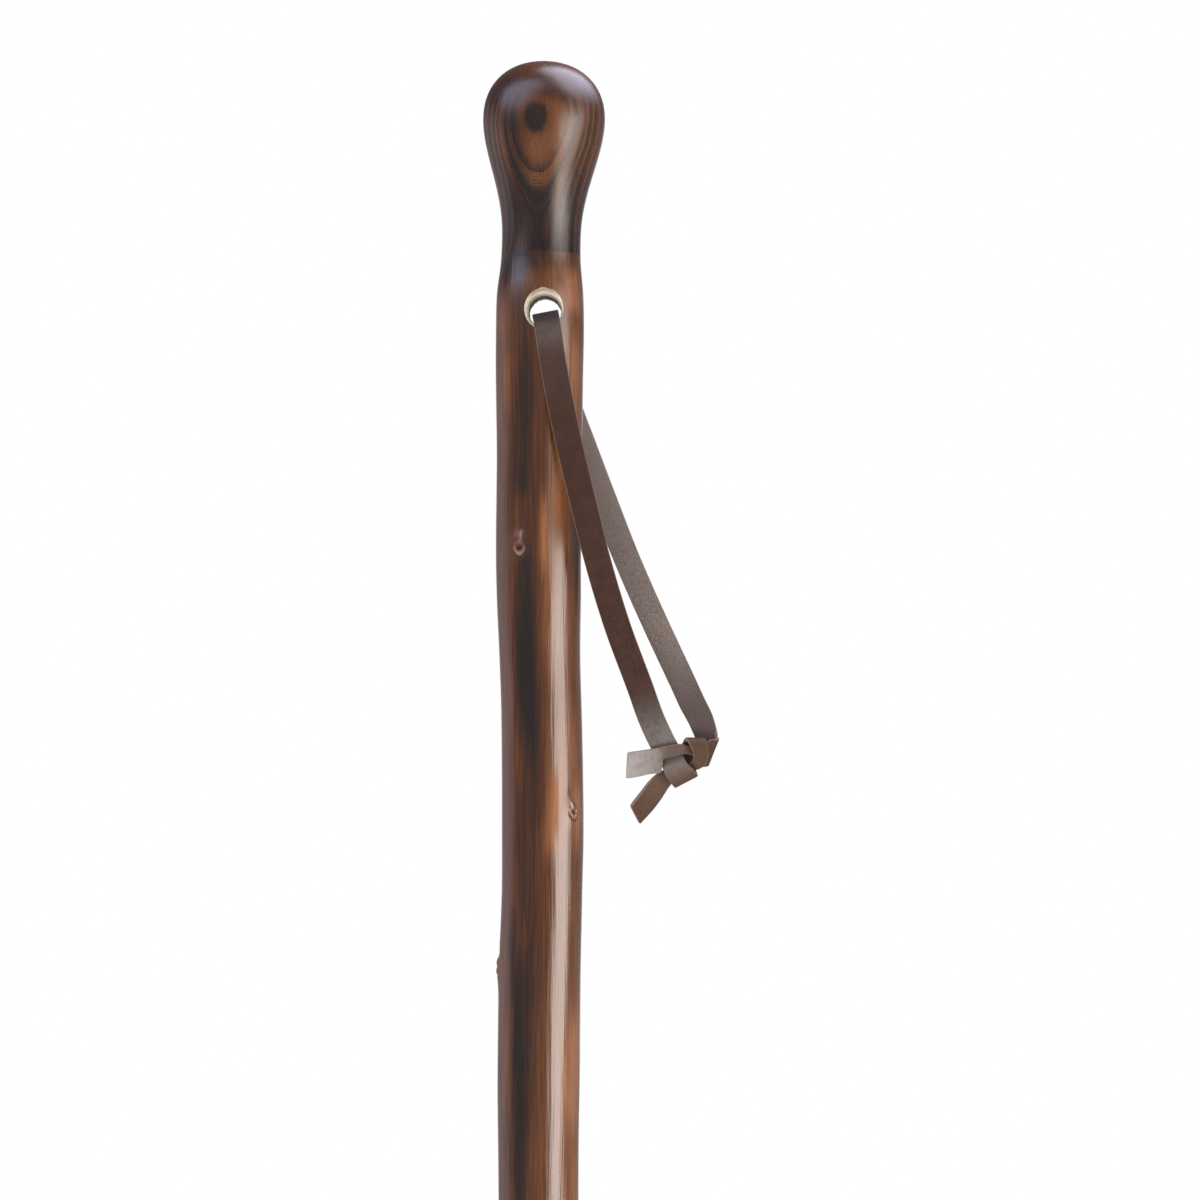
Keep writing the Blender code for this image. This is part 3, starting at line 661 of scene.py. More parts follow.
def build_stick():
    rows = smooth_curve(STICK, STICK_STEP)
    points = []
    for z, *_ in rows:
        points += [on_pole(rows, z, 360 * j / STICK_SIDES) for j in range(STICK_SIDES)]
    for point in points[:STICK_SIDES]:
        point.z = JOINT_Z - point.x * math.tan(KNOB_LEAN)
    for z, radius in SPIGOT:
        for j in range(STICK_SIDES):
            turn = 2 * math.pi * j / STICK_SIDES
            points.append(Vector((radius * math.sin(turn), -radius * math.cos(turn), z)) * MM)
    mesh = new_mesh("stick_form", points, tube_faces(len(rows) + len(SPIGOT), STICK_SIDES))
    form = open_form(mesh)
    refine(form, lambda p: near_scar(rows, p, *SCAR_FINE), 3)
    refine(form, lambda p: near_scar(rows, p, *SCAR_FINER), 1)
    refine(form, lambda p: (p.x - BORE.x) ** 2 + (p.z - BORE.z) ** 2 < BORE_FINE**2, 1)
    for vert in form.verts:
        if SKIN_FOOT < vert.co.z < SKIN_TOP:
            z, _, angle = seen_on_pole(rows, vert.co)
            vert.co = on_pole(rows, z, angle)
    close_form(form, mesh)
    return mesh, rows


# The bore's cutter: its points round, and its rings along Y in mm
BORE_SIDES = 180
BORE_STATIONS = (
    *(-16.0, -13.4, -13.0, -12.7, -12.4, -12.1, -11.8, -11.4, -10.9, -10.2, -9.4, -8.4),
    *(-6.0, -4.0, -2.5, -1.8, -1.2, 0.0, 4.0, 8.0),
    *(9.4, 10.2, 10.9, 11.4, 11.8, 12.1, 12.4, 12.8, 13.4, 16.0),
)

# The bore's radius, how much wider it is at the front, and each rim's flare: start, reach, widening in mm, and power
BORE_RADIUS, BORE_WIDENING = 4.68, 0.3
FRONT_FLARE = (9.0, 3.8, 1.02, 1.1)
REAR_FLARE = (9.4, 3.4, 1.6, 1.7)

# The hand-cut part of the front rim and its three small cracks: start and reach in mm, angle from +X towards +Z and
# half the width in degrees, and depth in mm
BORE_CUTS = (
    (9.2, 2.6, 50, 20, 0.34), (11.6, 0.9, 95, 2.2, 0.45), (11.6, 0.9, 88, 2.4, 0.3), (11.6, 0.9, 102, 2.6, 0.2),
)

# How uneven the bore is, and how far torn wood stands in its rear half, in mm
BORE_UNEVEN, BORE_TORN = 0.05, 0.3


def flare(out, start, over, wider, power):
    return wider * (max(0.0, out - start) / over) ** power


def bore_out(turn, y):
    """The bore's radius in mm at an angle round it, from +X towards +Z, and a depth y."""
    out = BORE_RADIUS + BORE_WIDENING * smooth_step(-y / 6) + flare(-y, *FRONT_FLARE) + flare(y, *REAR_FLARE)
    out += BORE_UNEVEN * noise.noise(Vector((turn / 9.0, y * 0.8, 3.1)))
    for start, over, middle, half, depth in BORE_CUTS:
        out += depth * smooth_step((-y - start) / over) * bell(angle_gap(turn, middle) / half)
    torn = noise.noise(Vector((turn / 6.5, 1.7, 9.1))) + 0.6 * noise.noise(Vector((turn / 2.4, 4.2, 5.0)))
    return out - BORE_TORN * smooth_step((y + 2.5) / 1.5) * max(0.0, torn)


def bore_cutter():
    """The bore's own shape along Y."""
    points = []
    for y in BORE_STATIONS:
        for j in range(BORE_SIDES):
            turn = 360 * j / BORE_SIDES
            out = bore_out(turn, y)
            place = Vector((out * math.cos(math.radians(turn)), y, out * math.sin(math.radians(turn))))
            points.append(BORE + place * MM)
    mesh = new_mesh("bore_form", points, tube_faces(len(BORE_STATIONS), BORE_SIDES))
    close_form(open_form(mesh), mesh)
    return mesh


# Marks of the flamed stain on the pole: height and half the length in mm, angle from the front and half the width in
# degrees, and how much lighter or darker the wood is there. They sway round the pole, in degrees, over so many mm.
STAIN_BASE = 0.4
STAIN_SWAY = 7.0
STAIN_SWAY_LENGTH = 34
STAINS = (
    (871, 10, -42, 34, -0.22), (874, 5, -8, 44, -0.22), (866, 6, 20, 18, 0.12), (865, 4, -20, 14, 0.1),
    (857, 8, -54, 17, 0.15), (848, 9, -56, 12, 0.06), (846, 26, -26, 15, -0.12), (852, 7, -32, 26, -0.08),
    (837, 8, -48, 12, 0.13), (837, 8, -9, 9, -0.1), (820, 19, -26, 19, -0.18), (812, 32, -21, 11, -0.09),
    (820, 16, 8, 13, -0.08), (797, 8, -22, 12, 0.22), (797, 9, 47, 9, 0.22), (770, 32, -23, 17, -0.22),
    (748, 17, -16, 16, -0.16), (734, 8, -2, 14, 0.08), (672, 12, -45, 8, -0.16), (655, 16, -35, 8, -0.2),
    (622, 30, -28, 9, -0.24), (590, 330, -58, 17, -0.11), (700, 80, -14, 18, -0.21), (760, 26, 44, 12, 0.16),
    (634, 20, 2, 12, 0.08), (700, 40, -28, 14, -0.06), (790, 13, 62, 22, -0.14), (851, 5, 66, 16, -0.1),
    (846, 10, 64, 12, 0.1), (863, 6, 54, 20, 0.52), (832, 20, 52, 17, 0.5), (811, 13, 33, 9, 0.32),
    (793, 10, 11, 8, 0.26), (776, 24, 13, 8, 0.12), (750, 26, 62, 20, 0.13), (722, 16, 48, 18, 0.22),
    (713, 11, 15, 10, 0.4), (711, 9, 60, 12, 0.34), (672, 24, 58, 18, 0.18), (614, 26, 56, 18, 0.22),
    (640, 15, 62, 20, 0.34), (618, 40, 62, 22, 0.2), (612, 26, -22, 12, -0.1), (616, 14, -46, 10, -0.12),
)

# Where the lacquer is dull: as STAINS, with the change in roughness
MATT_PATCHES = ((806, 15, 34, 22, 0.34), (866, 8, -30, 60, 0.08), (716, 9, 16, 8, 0.28))

# How much lighter the wood is round a scar, and how much duller its heart and the painted shade round it
SCAR_GLOW = 0.08
SCAR_MATT = 0.4

WILD_SEED = 11
WILD_STAINS = 150
PHOTO_FOOT = 606
PHOTO_SIDE = 84


def wild_stains():
    """More such marks where the photograph doesn't reach: the back and the lower two thirds."""
    draw = random.Random(WILD_SEED)
    marks = []
    for _ in range(WILD_STAINS):
        z, half = draw.uniform(70, 875), draw.uniform(10, 46)
        angle, width = draw.uniform(-180, 180), draw.uniform(7, 26)
        tone = draw.choice((-1, 1)) * draw.uniform(0.12, 0.42)
        if z + half <= PHOTO_FOOT or abs(angle) >= PHOTO_SIDE + width:
            marks.append((z, half, angle, width, tone))
    return marks


ALL_STAINS = [*STAINS, *wild_stains()]


def stain_tone(z, angle):
    """How light the stain is at a place on the pole, from 0 for nearly black to 1 for bright orange."""
    turn = math.radians(angle)
    sway = STAIN_SWAY * noise.noise(Vector((z / STAIN_SWAY_LENGTH, math.sin(turn), math.cos(turn))))
    return STAIN_BASE + marks_at(ALL_STAINS, z, angle + sway)


def scar_marks(z, angle, radius):
    """1 in the dark heart of a bud scar and in the painted shade of the groove round its lip and beside its tail,
    1 on its pale lip and tail, and 1 where the wood round it is lighter.
    """
    heart_and_shade, pale, glow = 0.0, 0.0, 0.0
    for side, up, size, _, slant in scars_near(z, angle, radius):
        out, lip, groove, tail = scar_shape(side, up, size, slant)
        # Its dark heart, and painted shade in the groove round its lip and beside its tail
        heart_and_shade += bell(out / 0.66) + 0.75 * lip * groove
        beside_tail = (abs(side - slant * up) - 0.75 * size) / (0.3 * size)
        heart_and_shade += 0.5 * bell(beside_tail, (up / size - 1.6) / 0.9)
        pale += lip * bell((out - 1.0) / 0.26) + 0.7 * tail
        glow += bell(side / (3.0 * size), up / (4.6 * size))
    return min(heart_and_shade, 1.0), min(pale, 1.0), min(glow, 1.0)


def finish_stick(mesh, rows):
    """Cuts the bore, and gives each point its stain, how dull it is and its share of a scar's colours."""
    body = new_object("stick_form", mesh)
    cutter = new_object("bore_form", bore_cutter())
    for surface in (pole_material(), bore_material()):
        body.data.materials.append(surface)
        cutter.data.materials.append(surface)
    for face in cutter.data.polygons:
        face.material_index = 1
    cut = body.modifiers.new("bore", "BOOLEAN")
    cut.operation = "DIFFERENCE"
    cut.solver = "EXACT"
    cut.object = cutter
    bpy.context.view_layer.update()
    seen = body.evaluated_get(bpy.context.evaluated_depsgraph_get())
    done = bpy.data.meshes.new_from_object(seen)
    bpy.data.objects.remove(cutter)
    bpy.data.objects.remove(body)
    keys = {"tone": [], "heart_and_shade": [], "lip": [], "matt": []}
    for vert in done.vertices:
        z, radius, angle = seen_on_pole(rows, vert.co)
        heart_and_shade, pale, glow = scar_marks(z, angle, radius)
        keys["tone"].append(stain_tone(z, angle) + SCAR_GLOW * glow)
        keys["heart_and_shade"].append(heart_and_shade)
        keys["lip"].append(pale)
        keys["matt"].append(marks_at(MATT_PATCHES, z, angle) + SCAR_MATT * heart_and_shade)
    done.name = "natural_pole"
    new_piece("natural_pole", done, "cane", "stick", keys, STICK_CREASE)


# The materials


class Shader:
    """The nodes of a material or the world, made one at a time round the main shader."""

    def __init__(self, owner, main="Principled BSDF"):
        owner.use_nodes = True
        self.owner = owner
        self.tree = owner.node_tree
        self.main = self.tree.nodes[main]

    def feed(self, socket, value):
        if isinstance(value, bpy.types.NodeSocket):
            self.tree.links.new(value, socket)
        else:
            socket.default_value = value

    def node(self, kind, inputs=None, **settings):
        made = self.tree.nodes.new("ShaderNode" + kind)
        for key, value in settings.items():
            setattr(made, key, value)
        for key, value in (inputs or {}).items():
            self.feed(made.inputs[key], value)
        return made

    def math(self, operation, a, b=0.0, clamp=False):
        return self.node("Math", {0: a, 1: b}, operation=operation, use_clamp=clamp).outputs[0]

    def vary(self, value, noise, amount):
        """The value, raised where the noise is above its middle and lowered where it is below."""
        return self.math("ADD", value, self.math("MULTIPLY", self.math("SUBTRACT", noise, 0.5), amount))

    def mix(self, share, a, b):
        return self.node("Mix", {0: share, 6: a, 7: b}, data_type="RGBA").outputs[2]

    def ramp(self, value, stops):
        made = self.node("ValToRGB", {0: value})
        elements = made.color_ramp.elements
        while len(elements) < len(stops):
            elements.new(0.5)
        for element, (place, colour) in zip(elements, stops):
            element.position = place
            element.color = (*colour, 1.0)
        return made.outputs[0]

    def spread(self, value, low, high, out_low=0.0, out_high=1.0, kind="SMOOTHSTEP"):
        inputs = {0: value, 1: low, 2: high, 3: out_low, 4: out_high}
        return self.node("MapRange", inputs, interpolation_type=kind).outputs[0]

    def place(self, scale=(1.0, 1.0, 1.0)):
        return self.node("Mapping", {0: self.node("TexCoord").outputs["Object"], 3: scale}).outputs[0]

    def millimetres(self):
        """The place's x, y and z."""
        return self.node("SeparateXYZ", {0: self.place((1000, 1000, 1000))}).outputs

    def noise(self, scale, detail, rough, warp=0.0):
        """Noise that changes about this often per metre along x, y and z."""
        inputs = {0: self.place(scale), "Scale": 1.0, "Detail": detail, "Roughness": rough, "Distortion": warp}
        return self.node("TexNoise", inputs).outputs[0]

    def vector(self, operation, a, other):
        """The vector with another, or with a number that scales it."""
        made = self.node("VectorMath", {0: a, "Scale" if operation == "SCALE" else 1: other}, operation=operation)
        return made.outputs["Value" if operation in ("DOT_PRODUCT", "LENGTH") else "Vector"]

    def attribute(self, name):
        return self.node("Attribute", attribute_name=name).outputs["Fac"]

    def bump(self, height, distance, normal=None, strength=1.0):
        inputs = {"Strength": strength, "Distance": distance, "Height": height}
        if normal is not None:
            inputs["Normal"] = normal
        return self.node("Bump", inputs).outputs[0]

    def finish(self, colour, roughness, normal=None, **fixed):
        self.feed(self.main.inputs["Base Color"], colour)
        self.feed(self.main.inputs["Roughness"], roughness)
        if normal is not None:
            self.feed(self.main.inputs["Normal"], normal)
        for key, value in fixed.items():
            self.main.inputs[key.replace("_", " ")].default_value = value
        return self.owner


def material_nodes(name):
    return Shader(bpy.data.materials.new(name))


# The stained wood from darkest to lightest, its pores, a bud scar's heart with the painted shade round it, and its lip
POLE_RAMP = (
    (0, (0.012, 0.0078, 0.0068)), (0.16, (0.03, 0.012, 0.0075)), (0.32, (0.068, 0.023, 0.0085)),
    (0.48, (0.116, 0.04, 0.013)), (0.6, (0.16, 0.056, 0.02)), (0.72, (0.205, 0.075, 0.029)),
    (0.86, (0.28, 0.108, 0.045)), (1, (0.36, 0.15, 0.068)),
)
PORE = (0.03, 0.014, 0.01, 1)
SCAR_HEART_AND_SHADE = (0.02, 0.011, 0.01, 1)
SCAR_LIP = (0.34, 0.18, 0.12, 1)


def pole_material():
    s = material_nodes("flamed_pole")
    streaks = s.noise((1150, 1150, 42), 3.0, 0.6)
    fibres = s.noise((3400, 3400, 90), 2.0, 0.6)
    drift = s.noise((150, 150, 26), 2.0, 0.5, 0.4)
    tone = s.vary(s.attribute("tone"), streaks, 0.42)
    tone = s.vary(tone, fibres, 0.26)
    tone = s.vary(tone, drift, 0.22)
    colour = s.ramp(tone, POLE_RAMP)
    pores = s.noise((5200, 5200, 260), 1.0, 0.5)
    colour = s.mix(s.spread(pores, 0.62, 0.74, 0.0, 0.35), colour, PORE)
    # The scar's dark heart and the painted shade round it
    colour = s.mix(s.attribute("heart_and_shade"), colour, SCAR_HEART_AND_SHADE)
    colour = s.mix(s.math("MULTIPLY", s.attribute("lip"), 0.52), colour, SCAR_LIP)
    normal = s.bump(s.noise((900, 900, 30), 2.0, 0.5), 0.00011)
    normal = s.bump(s.noise((2300, 2300, 50), 2.0, 0.6), 0.000028, normal)
    normal = s.bump(fibres, 0.000009, normal)
    matt = s.attribute("matt")
    rough = s.math("ADD", s.spread(streaks, 0.3, 0.7, 0.13, 0.2), matt)
    s.feed(s.main.inputs["Specular IOR Level"], s.spread(matt, 0.0, 0.4, 0.5, 0.12))
    return s.finish(colour, rough, normal, IOR=1.5)


# The bare wood in the bore, lighter and darker by its grain, with painted light and shade on it: painted shade at the
# top of the front rim, painted light on its flanks and deeper in, and darker where the stain ran in from behind. The
# slope shades its walls as if they leaned towards the front.
BORE_TOP_PAINTED_SHADE = ((0.25, (0.34, 0.27, 0.19)), (0.5, (0.43, 0.34, 0.26)), (0.8, (0.5, 0.42, 0.33)))
BORE_FLANKS_PAINTED_LIGHT = ((0.25, (0.8, 0.7, 0.56)), (0.8, (0.92, 0.83, 0.7)))
BORE_DEEP_PAINTED_LIGHT = ((0.3, (0.97, 0.88, 0.72)), (0.7, (0.99, 0.93, 0.8)))
BORE_STAINED = ((0.2, (0.3, 0.19, 0.12)), (0.8, (0.5, 0.34, 0.22)))
BORE_SLOPE = 0.02


def bore_material():
    s = material_nodes("bare_bore_wood")
    _, depth, height = s.millimetres()
    ragged = s.noise((900, 500, 900), 3.0, 0.65)
    grain = s.noise((2600, 900, 700), 3.0, 0.6)
    # Painted shade at the top of the bore, painted light on its flanks
    colour = s.mix(s.spread(height, 859.8, 862.2, 1.0, 0.0), s.ramp(grain, BORE_TOP_PAINTED_SHADE), s.ramp(grain, BORE_FLANKS_PAINTED_LIGHT))
    # Painted light deeper in, on the pale bare wood
    colour = s.mix(s.spread(depth, -11.2, -7.6), colour, s.ramp(grain, BORE_DEEP_PAINTED_LIGHT))
    colour = s.mix(s.spread(s.vary(depth, ragged, 11.0), -1.6, -0.4), colour, s.ramp(grain, BORE_STAINED))
    normal = s.bump(s.spread(depth, -11.0, 3.0, kind="LINEAR"), BORE_SLOPE)
    normal = s.bump(grain, 0.00008, normal)
    glow = {"Subsurface_Weight": 0.75, "Subsurface_Scale": 0.007, "Subsurface_Radius": (1.0, 0.95, 0.85)}
    return s.finish(colour, 0.62, normal, **glow)


# How light each growth layer of the knob is, by its depth
LAYER_RANGE = 16.0
LAYERS = (
    (0, 0.05), (0.26, 0.07), (0.4, 0.24), (0.54, 0.4), (0.9, 0.48), (1.6, 0.46), (2.05, 0.35), (2.4, 0.23),
    (2.52, 0.17), (2.59, 0.5), (3.25, 0.46), (3.8, 0.14), (4.02, 0.08), (4.09, 0.62), (4.17, 0.56), (4.26, 0.3),
    (4.6, 0.54), (5.45, 0.52), (5.85, 0.24), (6.15, 0.26), (6.45, 0.6), (6.8, 0.52), (7.15, 0.22), (8.05, 0.28),
    (8.4, 0.58), (8.8, 0.48), (9.25, 0.22), (10.5, 0.3), (11.7, 0.58), (12.3, 0.46), (12.8, 0.26), (16, 0.32),
)

# How far apart the layers behind those are, and those of the finer grain in all of them, in mm
DEEP_LAYER = 1.9
FINE_LAYER = 0.16
LAYER_MIDDLE_TONE = 0.3


def knob_material():
    s = material_nodes("flamed_knob")
    depth = s.vary(s.attribute("layer"), s.noise((120, 120, 60), 2.0, 0.5), 0.55)
    depth = s.vary(depth, s.noise((620, 620, 190), 2.0, 0.5), 0.12)
    near = s.ramp(s.math("DIVIDE", depth, LAYER_RANGE), [(d / LAYER_RANGE, (t, t, t)) for d, t in LAYERS])
    deep = s.math("SINE", s.math("MULTIPLY", depth, 2 * math.pi / DEEP_LAYER))
    deep = s.math("ADD", s.math("MULTIPLY", deep, 0.16), 0.34)
    layer = s.node("Mix", {0: s.spread(depth, 13.0, 16.0), 2: near, 3: deep}, data_type="FLOAT").outputs[0]
    fine = s.math("SINE", s.math("MULTIPLY", depth, 2 * math.pi / FINE_LAYER))
    fine = s.math("MULTIPLY", fine, s.spread(s.noise((420, 420, 300), 1.0, 0.5), 0.3, 0.7, 0.03, 0.15))
    fine = s.math("MULTIPLY", fine, s.spread(depth, 0.25, 0.6))
    tone = s.math("SUBTRACT", s.math("ADD", layer, fine), LAYER_MIDDLE_TONE)
    tone = s.math("ADD", s.math("MULTIPLY", tone, s.attribute("clear")), LAYER_MIDDLE_TONE)
    tone = s.math("ADD", tone, s.attribute("tone"))
    streaks = s.noise((1500, 1500, 90), 3.0, 0.6)
    tone = s.vary(tone, streaks, 0.22)
    tone = s.vary(tone, s.noise((4200, 4200, 900), 2.0, 0.6), 0.22)
    normal = s.bump(s.noise((300, 300, 110), 1.0, 0.5), 0.00006)
    normal = s.bump(s.noise((2600, 2600, 1800), 2.0, 0.6), 0.000022, normal)
    smoother = s.spread(s.millimetres()[2], 874, 884, -0.11, 0.0)
    rough = s.math("ADD", s.spread(streaks, 0.3, 0.7, 0.26, 0.33), smoother)
    return s.finish(s.ramp(tone, POLE_RAMP), rough, normal, IOR=1.44)


# The leather's smooth grain side, its rough flesh side and its cut edge, darker and lighter by the speckle
GRAIN_RAMP = ((0.3, (0.03, 0.0122, 0.0074)), (0.55, (0.039, 0.0158, 0.0096)), (0.8, (0.05, 0.0205, 0.0128)))
FLESH_RAMP = ((0.25, (0.095, 0.071, 0.064)), (0.5, (0.205, 0.158, 0.141)), (0.8, (0.345, 0.28, 0.25)))
CUT_RAMP = ((0.3, (0.15, 0.09, 0.068)), (0.7, (0.3, 0.205, 0.165)))
GRAIN_SPECK = (0.024, 0.011, 0.0075, 1)
GRAIN_AT_KNOT = (0.086, 0.04, 0.018, 1)
# The grey of the painted sheen on the grain side
GRAIN_PAINTED_SHEEN = (0.37, 0.34, 0.325, 1)
FLESH_SPECK = (0.17, 0.125, 0.11, 1)
# Painted light on the flesh side near the bore, where the stick shades the rear leg
FLESH_PAINTED_LIGHT_AT_BORE = (0.46, 0.37, 0.335, 1)
# Painted shade on the flesh side towards the knot, among its wraps
FLESH_PAINTED_SHADE_AT_KNOT = (0.066, 0.047, 0.045, 1)
# Painted shade on the strap inside the bore and where it bends over the rim
PAINTED_SHADE_IN_BORE = (0.006, 0.004, 0.004, 1)


def leather_material():
    s = material_nodes("strap_leather")
    side = s.spread(s.attribute("side"), -0.2, 0.2)
    along = s.attribute("along")
    mottle = s.noise((210, 210, 210), 3.0, 0.55)
    pores = s.node("TexVoronoi", {0: s.place((2300, 2300, 2300)), "Scale": 1.0}, feature="DISTANCE_TO_EDGE").outputs[0]
    speckle = s.noise((2600, 2600, 2600), 3.0, 0.7)
    grain = s.mix(s.spread(speckle, 0.35, 0.7, 0.0, 0.25), s.ramp(mottle, GRAIN_RAMP), GRAIN_SPECK)
    grain = s.mix(s.spread(along, 0.145, 0.152, 0.0, 0.62), grain, GRAIN_AT_KNOT)
    flesh = s.mix(s.spread(mottle, 0.35, 0.7, 0.0, 0.3), s.ramp(speckle, FLESH_RAMP), FLESH_SPECK)
    # Painted light: the flesh side lighter near the bore
    flesh = s.mix(s.spread(along, 0.035, 0.088, 0.62, 0.0), flesh, FLESH_PAINTED_LIGHT_AT_BORE)
    # Painted shade: the flesh side darker towards the knot
    flesh = s.mix(s.spread(along, 0.106, 0.138, 0.0, 0.86), flesh, FLESH_PAINTED_SHADE_AT_KNOT)
    blotch = s.spread(s.noise((520, 520, 520), 3.0, 0.6), 0.25, 0.6, 0.72, 1.1)
    # Painted sheen: the grain side paler and greyer where the marks say, blotched by the noise
    grain = s.mix(s.math("MULTIPLY", s.attribute("painted_sheen"), blotch, clamp=True), grain, GRAIN_PAINTED_SHEEN)
    colour = s.mix(side, flesh, grain)
    colour = s.mix(s.spread(s.attribute("edge"), 0.15, 0.75), colour, s.ramp(speckle, CUT_RAMP))
    # Painted shade: the strap nearly black in the bore, fading out below its rim
    colour = s.mix(s.spread(along, 0.0134, 0.0158, 0.85, 0.0), colour, PAINTED_SHADE_IN_BORE)
    rough = s.vary(s.math("ADD", s.math("MULTIPLY", side, -0.36), 0.86), mottle, 0.12)
    fleshy = s.math("MULTIPLY", s.math("SUBTRACT", 1.0, side), s.math("MULTIPLY", speckle, 1.8))
    relief = s.math("ADD", s.math("MULTIPLY", s.spread(pores, 0.0, 0.18), 0.8), fleshy)
    return s.finish(colour, rough, s.bump(relief, 0.00004, strength=0.8), IOR=1.45, Specular_IOR_Level=0.24)


def steel_material():
    s = material_nodes("plated_steel")
    brushed = s.noise((600, 600, 9000), 2.0, 0.5)
    blotch = s.noise((260, 260, 260), 3.0, 0.6)
    colour = s.ramp(blotch, ((0.3, (0.42, 0.42, 0.43)), (0.7, (0.6, 0.6, 0.61))))
    rough = s.math("ADD", s.spread(blotch, 0.3, 0.7, 0.24, 0.38), s.math("MULTIPLY", brushed, 0.08))
    return s.finish(colour, rough, s.bump(brushed, 0.000004), Metallic=1.0)


def rubber_material():
    s = material_nodes("cap_rubber")
    cloud = s.noise((420, 420, 420), 3.0, 0.6)
    fine = s.noise((5200, 5200, 5200), 2.0, 0.6)
    colour = s.ramp(cloud, ((0.3, (0.016, 0.016, 0.017)), (0.7, (0.028, 0.028, 0.029))))
    return s.finish(colour, s.spread(cloud, 0.3, 0.7, 0.6, 0.78), s.bump(fine, 0.000025))


finish_stick(*build_stick())
knob.data.materials.append(knob_material())
leather = leather_material()
for strap in (rear_strap, front_strap):
    strap.data.materials.append(leather)
steel = steel_material()
for name in ("tip_sleeve", "tip_spike", "sleeve_nail_left", "sleeve_nail_right", "cap_washer"):
    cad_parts[name].material_slots[0].material = steel
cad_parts["rubber_cap"].material_slots[0].material = rubber_material()


# The studio: an even soft light, a white background and floor, and the bright shapes that the lacquer mirrors

# How bright the world is as light, and as the plain room that the lacquer mirrors
FILL = 0.74
ROOM = (0.36, 0.36, 0.37)


def towards(degrees):
    """The half of all directions round an angle from the right towards the back."""
    turn = math.radians(degrees)
    return (math.cos(turn), math.sin(turn), 0.0)


# Each bright shape as the lacquer sees it: its colour times its brightness, then its sides, each a half of all
# directions with the distances from the half's edge at which the light starts and is full
SOFTBOX_SIDES = (((0.79, 0.555, -0.06), -0.17, 0.19), ((-0.208, -0.978, 0.58), -0.2, 0.24))
WINDOWS = (
    (  # the tall softbox on the right
        (7.4, 6.85, 6.3),
        *SOFTBOX_SIDES,
        ((0, 0, -1), -0.36, 0.08),
        ((0, 0, 1), -0.85, -0.45),
    ),
    (  # its brighter middle
        (4.0, 3.75, 3.5),
        *SOFTBOX_SIDES,
        ((0, 0, -1), -0.16, 0.1),
        ((0, 0, 1), -0.42, -0.3),
    ),
    (  # the bluish window above on the left
        (3.0, 3.1, 4.2),
        ((-0.615, 0.611, 0.499), -0.14, 0.3),
        ((0, -0.925, 0.379), 0.0, 0.24),
        ((-0.508, -0.846, -0.164), 0.1, 0.32),
        ((0, 0, 1), 0.1, 0.4),
    ),
    (  # the lamp above on the right
        (6.2, 6.4, 8.2),
        ((0.346, 0.861, 0.373), -0.06, 0.2),
        ((0.865, 0.5, 0.03), -0.04, 0.26),
        ((-0.403, 0.392, 0.829), -0.35, 0.12),
        ((0.682, -0.66, 0.315), -0.06, 0.16),
        ((0, 0, 1), 0.2, 0.8),
    ),
    (  # the grey wall behind on the left
        (0.84, 0.79, 0.9),
        (towards(88), -0.28, 0.14),
        (towards(-120), -0.5, 0.35),
        ((0, 0, -1), -0.36, 0.02),
    ),
    (  # what the wall's far end adds
        (0.22, 0.21, 0.23),
        (towards(70), -0.1, 0.25),
        ((0, 0, -1), -0.3, 0.02),
    ),
    (  # the dark side of the room, on the right
        (-0.2, -0.2, -0.2),
        (towards(100), -0.25, 0.2),
    ),
    (  # the white background
        (0.64, 0.64, 0.63),
        ((0, 1, 0), 0.93, 0.98),
    ),
)


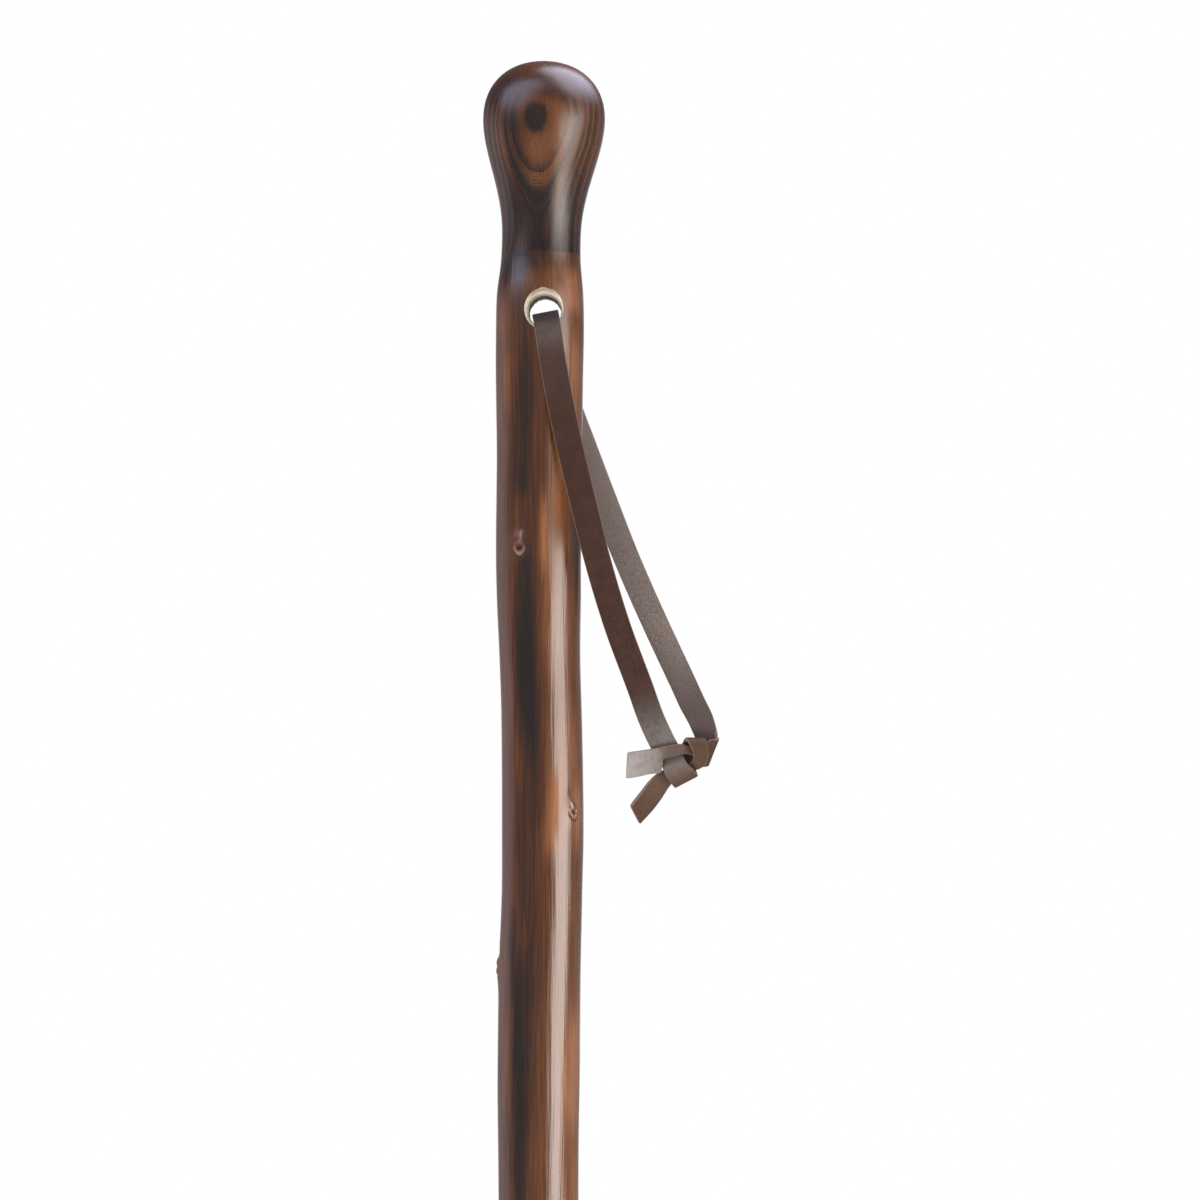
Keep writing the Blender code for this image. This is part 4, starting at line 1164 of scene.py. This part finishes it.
def build_world():
    world = bpy.data.worlds.new("studio")
    bpy.context.scene.world = world
    s = Shader(world, "Background")
    ray = s.node("LightPath")
    where = s.node("TexCoord").outputs["Generated"]
    mirrored = ROOM
    for colour, *sides in WINDOWS:
        shape = 1.0
        for half, start, full in sides:
            shape = s.math("MULTIPLY", shape, s.spread(s.vector("DOT_PRODUCT", where, half), start, full))
        mirrored = s.vector("ADD", mirrored, s.vector("SCALE", colour, shape))
    seen = s.math("MAXIMUM", ray.outputs["Is Camera Ray"], ray.outputs["Is Transmission Ray"])
    plain = s.math("ADD", s.math("MULTIPLY", ray.outputs["Is Diffuse Ray"], FILL), seen)
    glossy = s.vector("SCALE", mirrored, ray.outputs["Is Glossy Ray"])
    s.feed(s.main.inputs["Color"], s.vector("ADD", glossy, plain))
    world.cycles.sampling_method = "NONE"


# Each lamp: name, place, the height on the cane that it is aimed at, size and watts
LAMPS = (
    ("key", (-0.9, -1.5, 1.9), 0.6, (1.2, 1.2), 12.0),
    ("fill", (1.3, -1.2, 1.3), 0.6, (1.4, 1.4), 4.0),
    ("low", (-0.4, -0.9, 0.2), 0.85, (0.8, 0.5), 8.0),
    ("back", (0.4, 1.8, 1.9), 0.6, (1.4, 1.4), 8.0),
)


def area_light(name, place, aim, size, watts):
    data = bpy.data.lights.new(name, "AREA")
    data.shape = "RECTANGLE"
    data.size, data.size_y = size
    data.energy = watts
    light = new_object(name, data)
    light.location = place
    light.rotation_euler = (Vector((0.0, 0.0, aim)) - Vector(place)).to_track_quat("-Z", "Y").to_euler()
    light.visible_glossy = light.visible_camera = False


# The floor: a disc just under the cane, pale grey, and white further out
FLOOR_RADIUS = 1.6
FLOOR_SIDES = 96
FLOOR_LEVEL = -0.0004
FLOOR_FADE = (0.5, 1.5)


def build_floor():
    turns = [2 * math.pi * k / FLOOR_SIDES for k in range(FLOOR_SIDES)]
    points = [(FLOOR_RADIUS * math.cos(turn), FLOOR_RADIUS * math.sin(turn), 0.0) for turn in turns]
    mesh = new_mesh("floor", points, [tuple(range(FLOOR_SIDES))])
    floor = new_object("floor", mesh)
    floor.location = (0.0, 0.0, FLOOR_LEVEL)
    s = material_nodes("pale_floor")
    s.finish((0.86, 0.86, 0.86, 1.0), 0.9)
    far = s.vector("LENGTH", s.place(), (0, 0, 0))
    white = s.node("Emission").outputs[0]
    blend = s.node("MixShader", {0: s.spread(far, *FLOOR_FADE), 1: s.main.outputs[0], 2: white})
    s.feed(s.tree.nodes["Material Output"].inputs["Surface"], blend.outputs[0])
    mesh.materials.append(s.owner)


build_world()
for lamp in LAMPS:
    area_light(*lamp)
build_floor()

bpy.context.scene.view_settings.view_transform = "Standard"
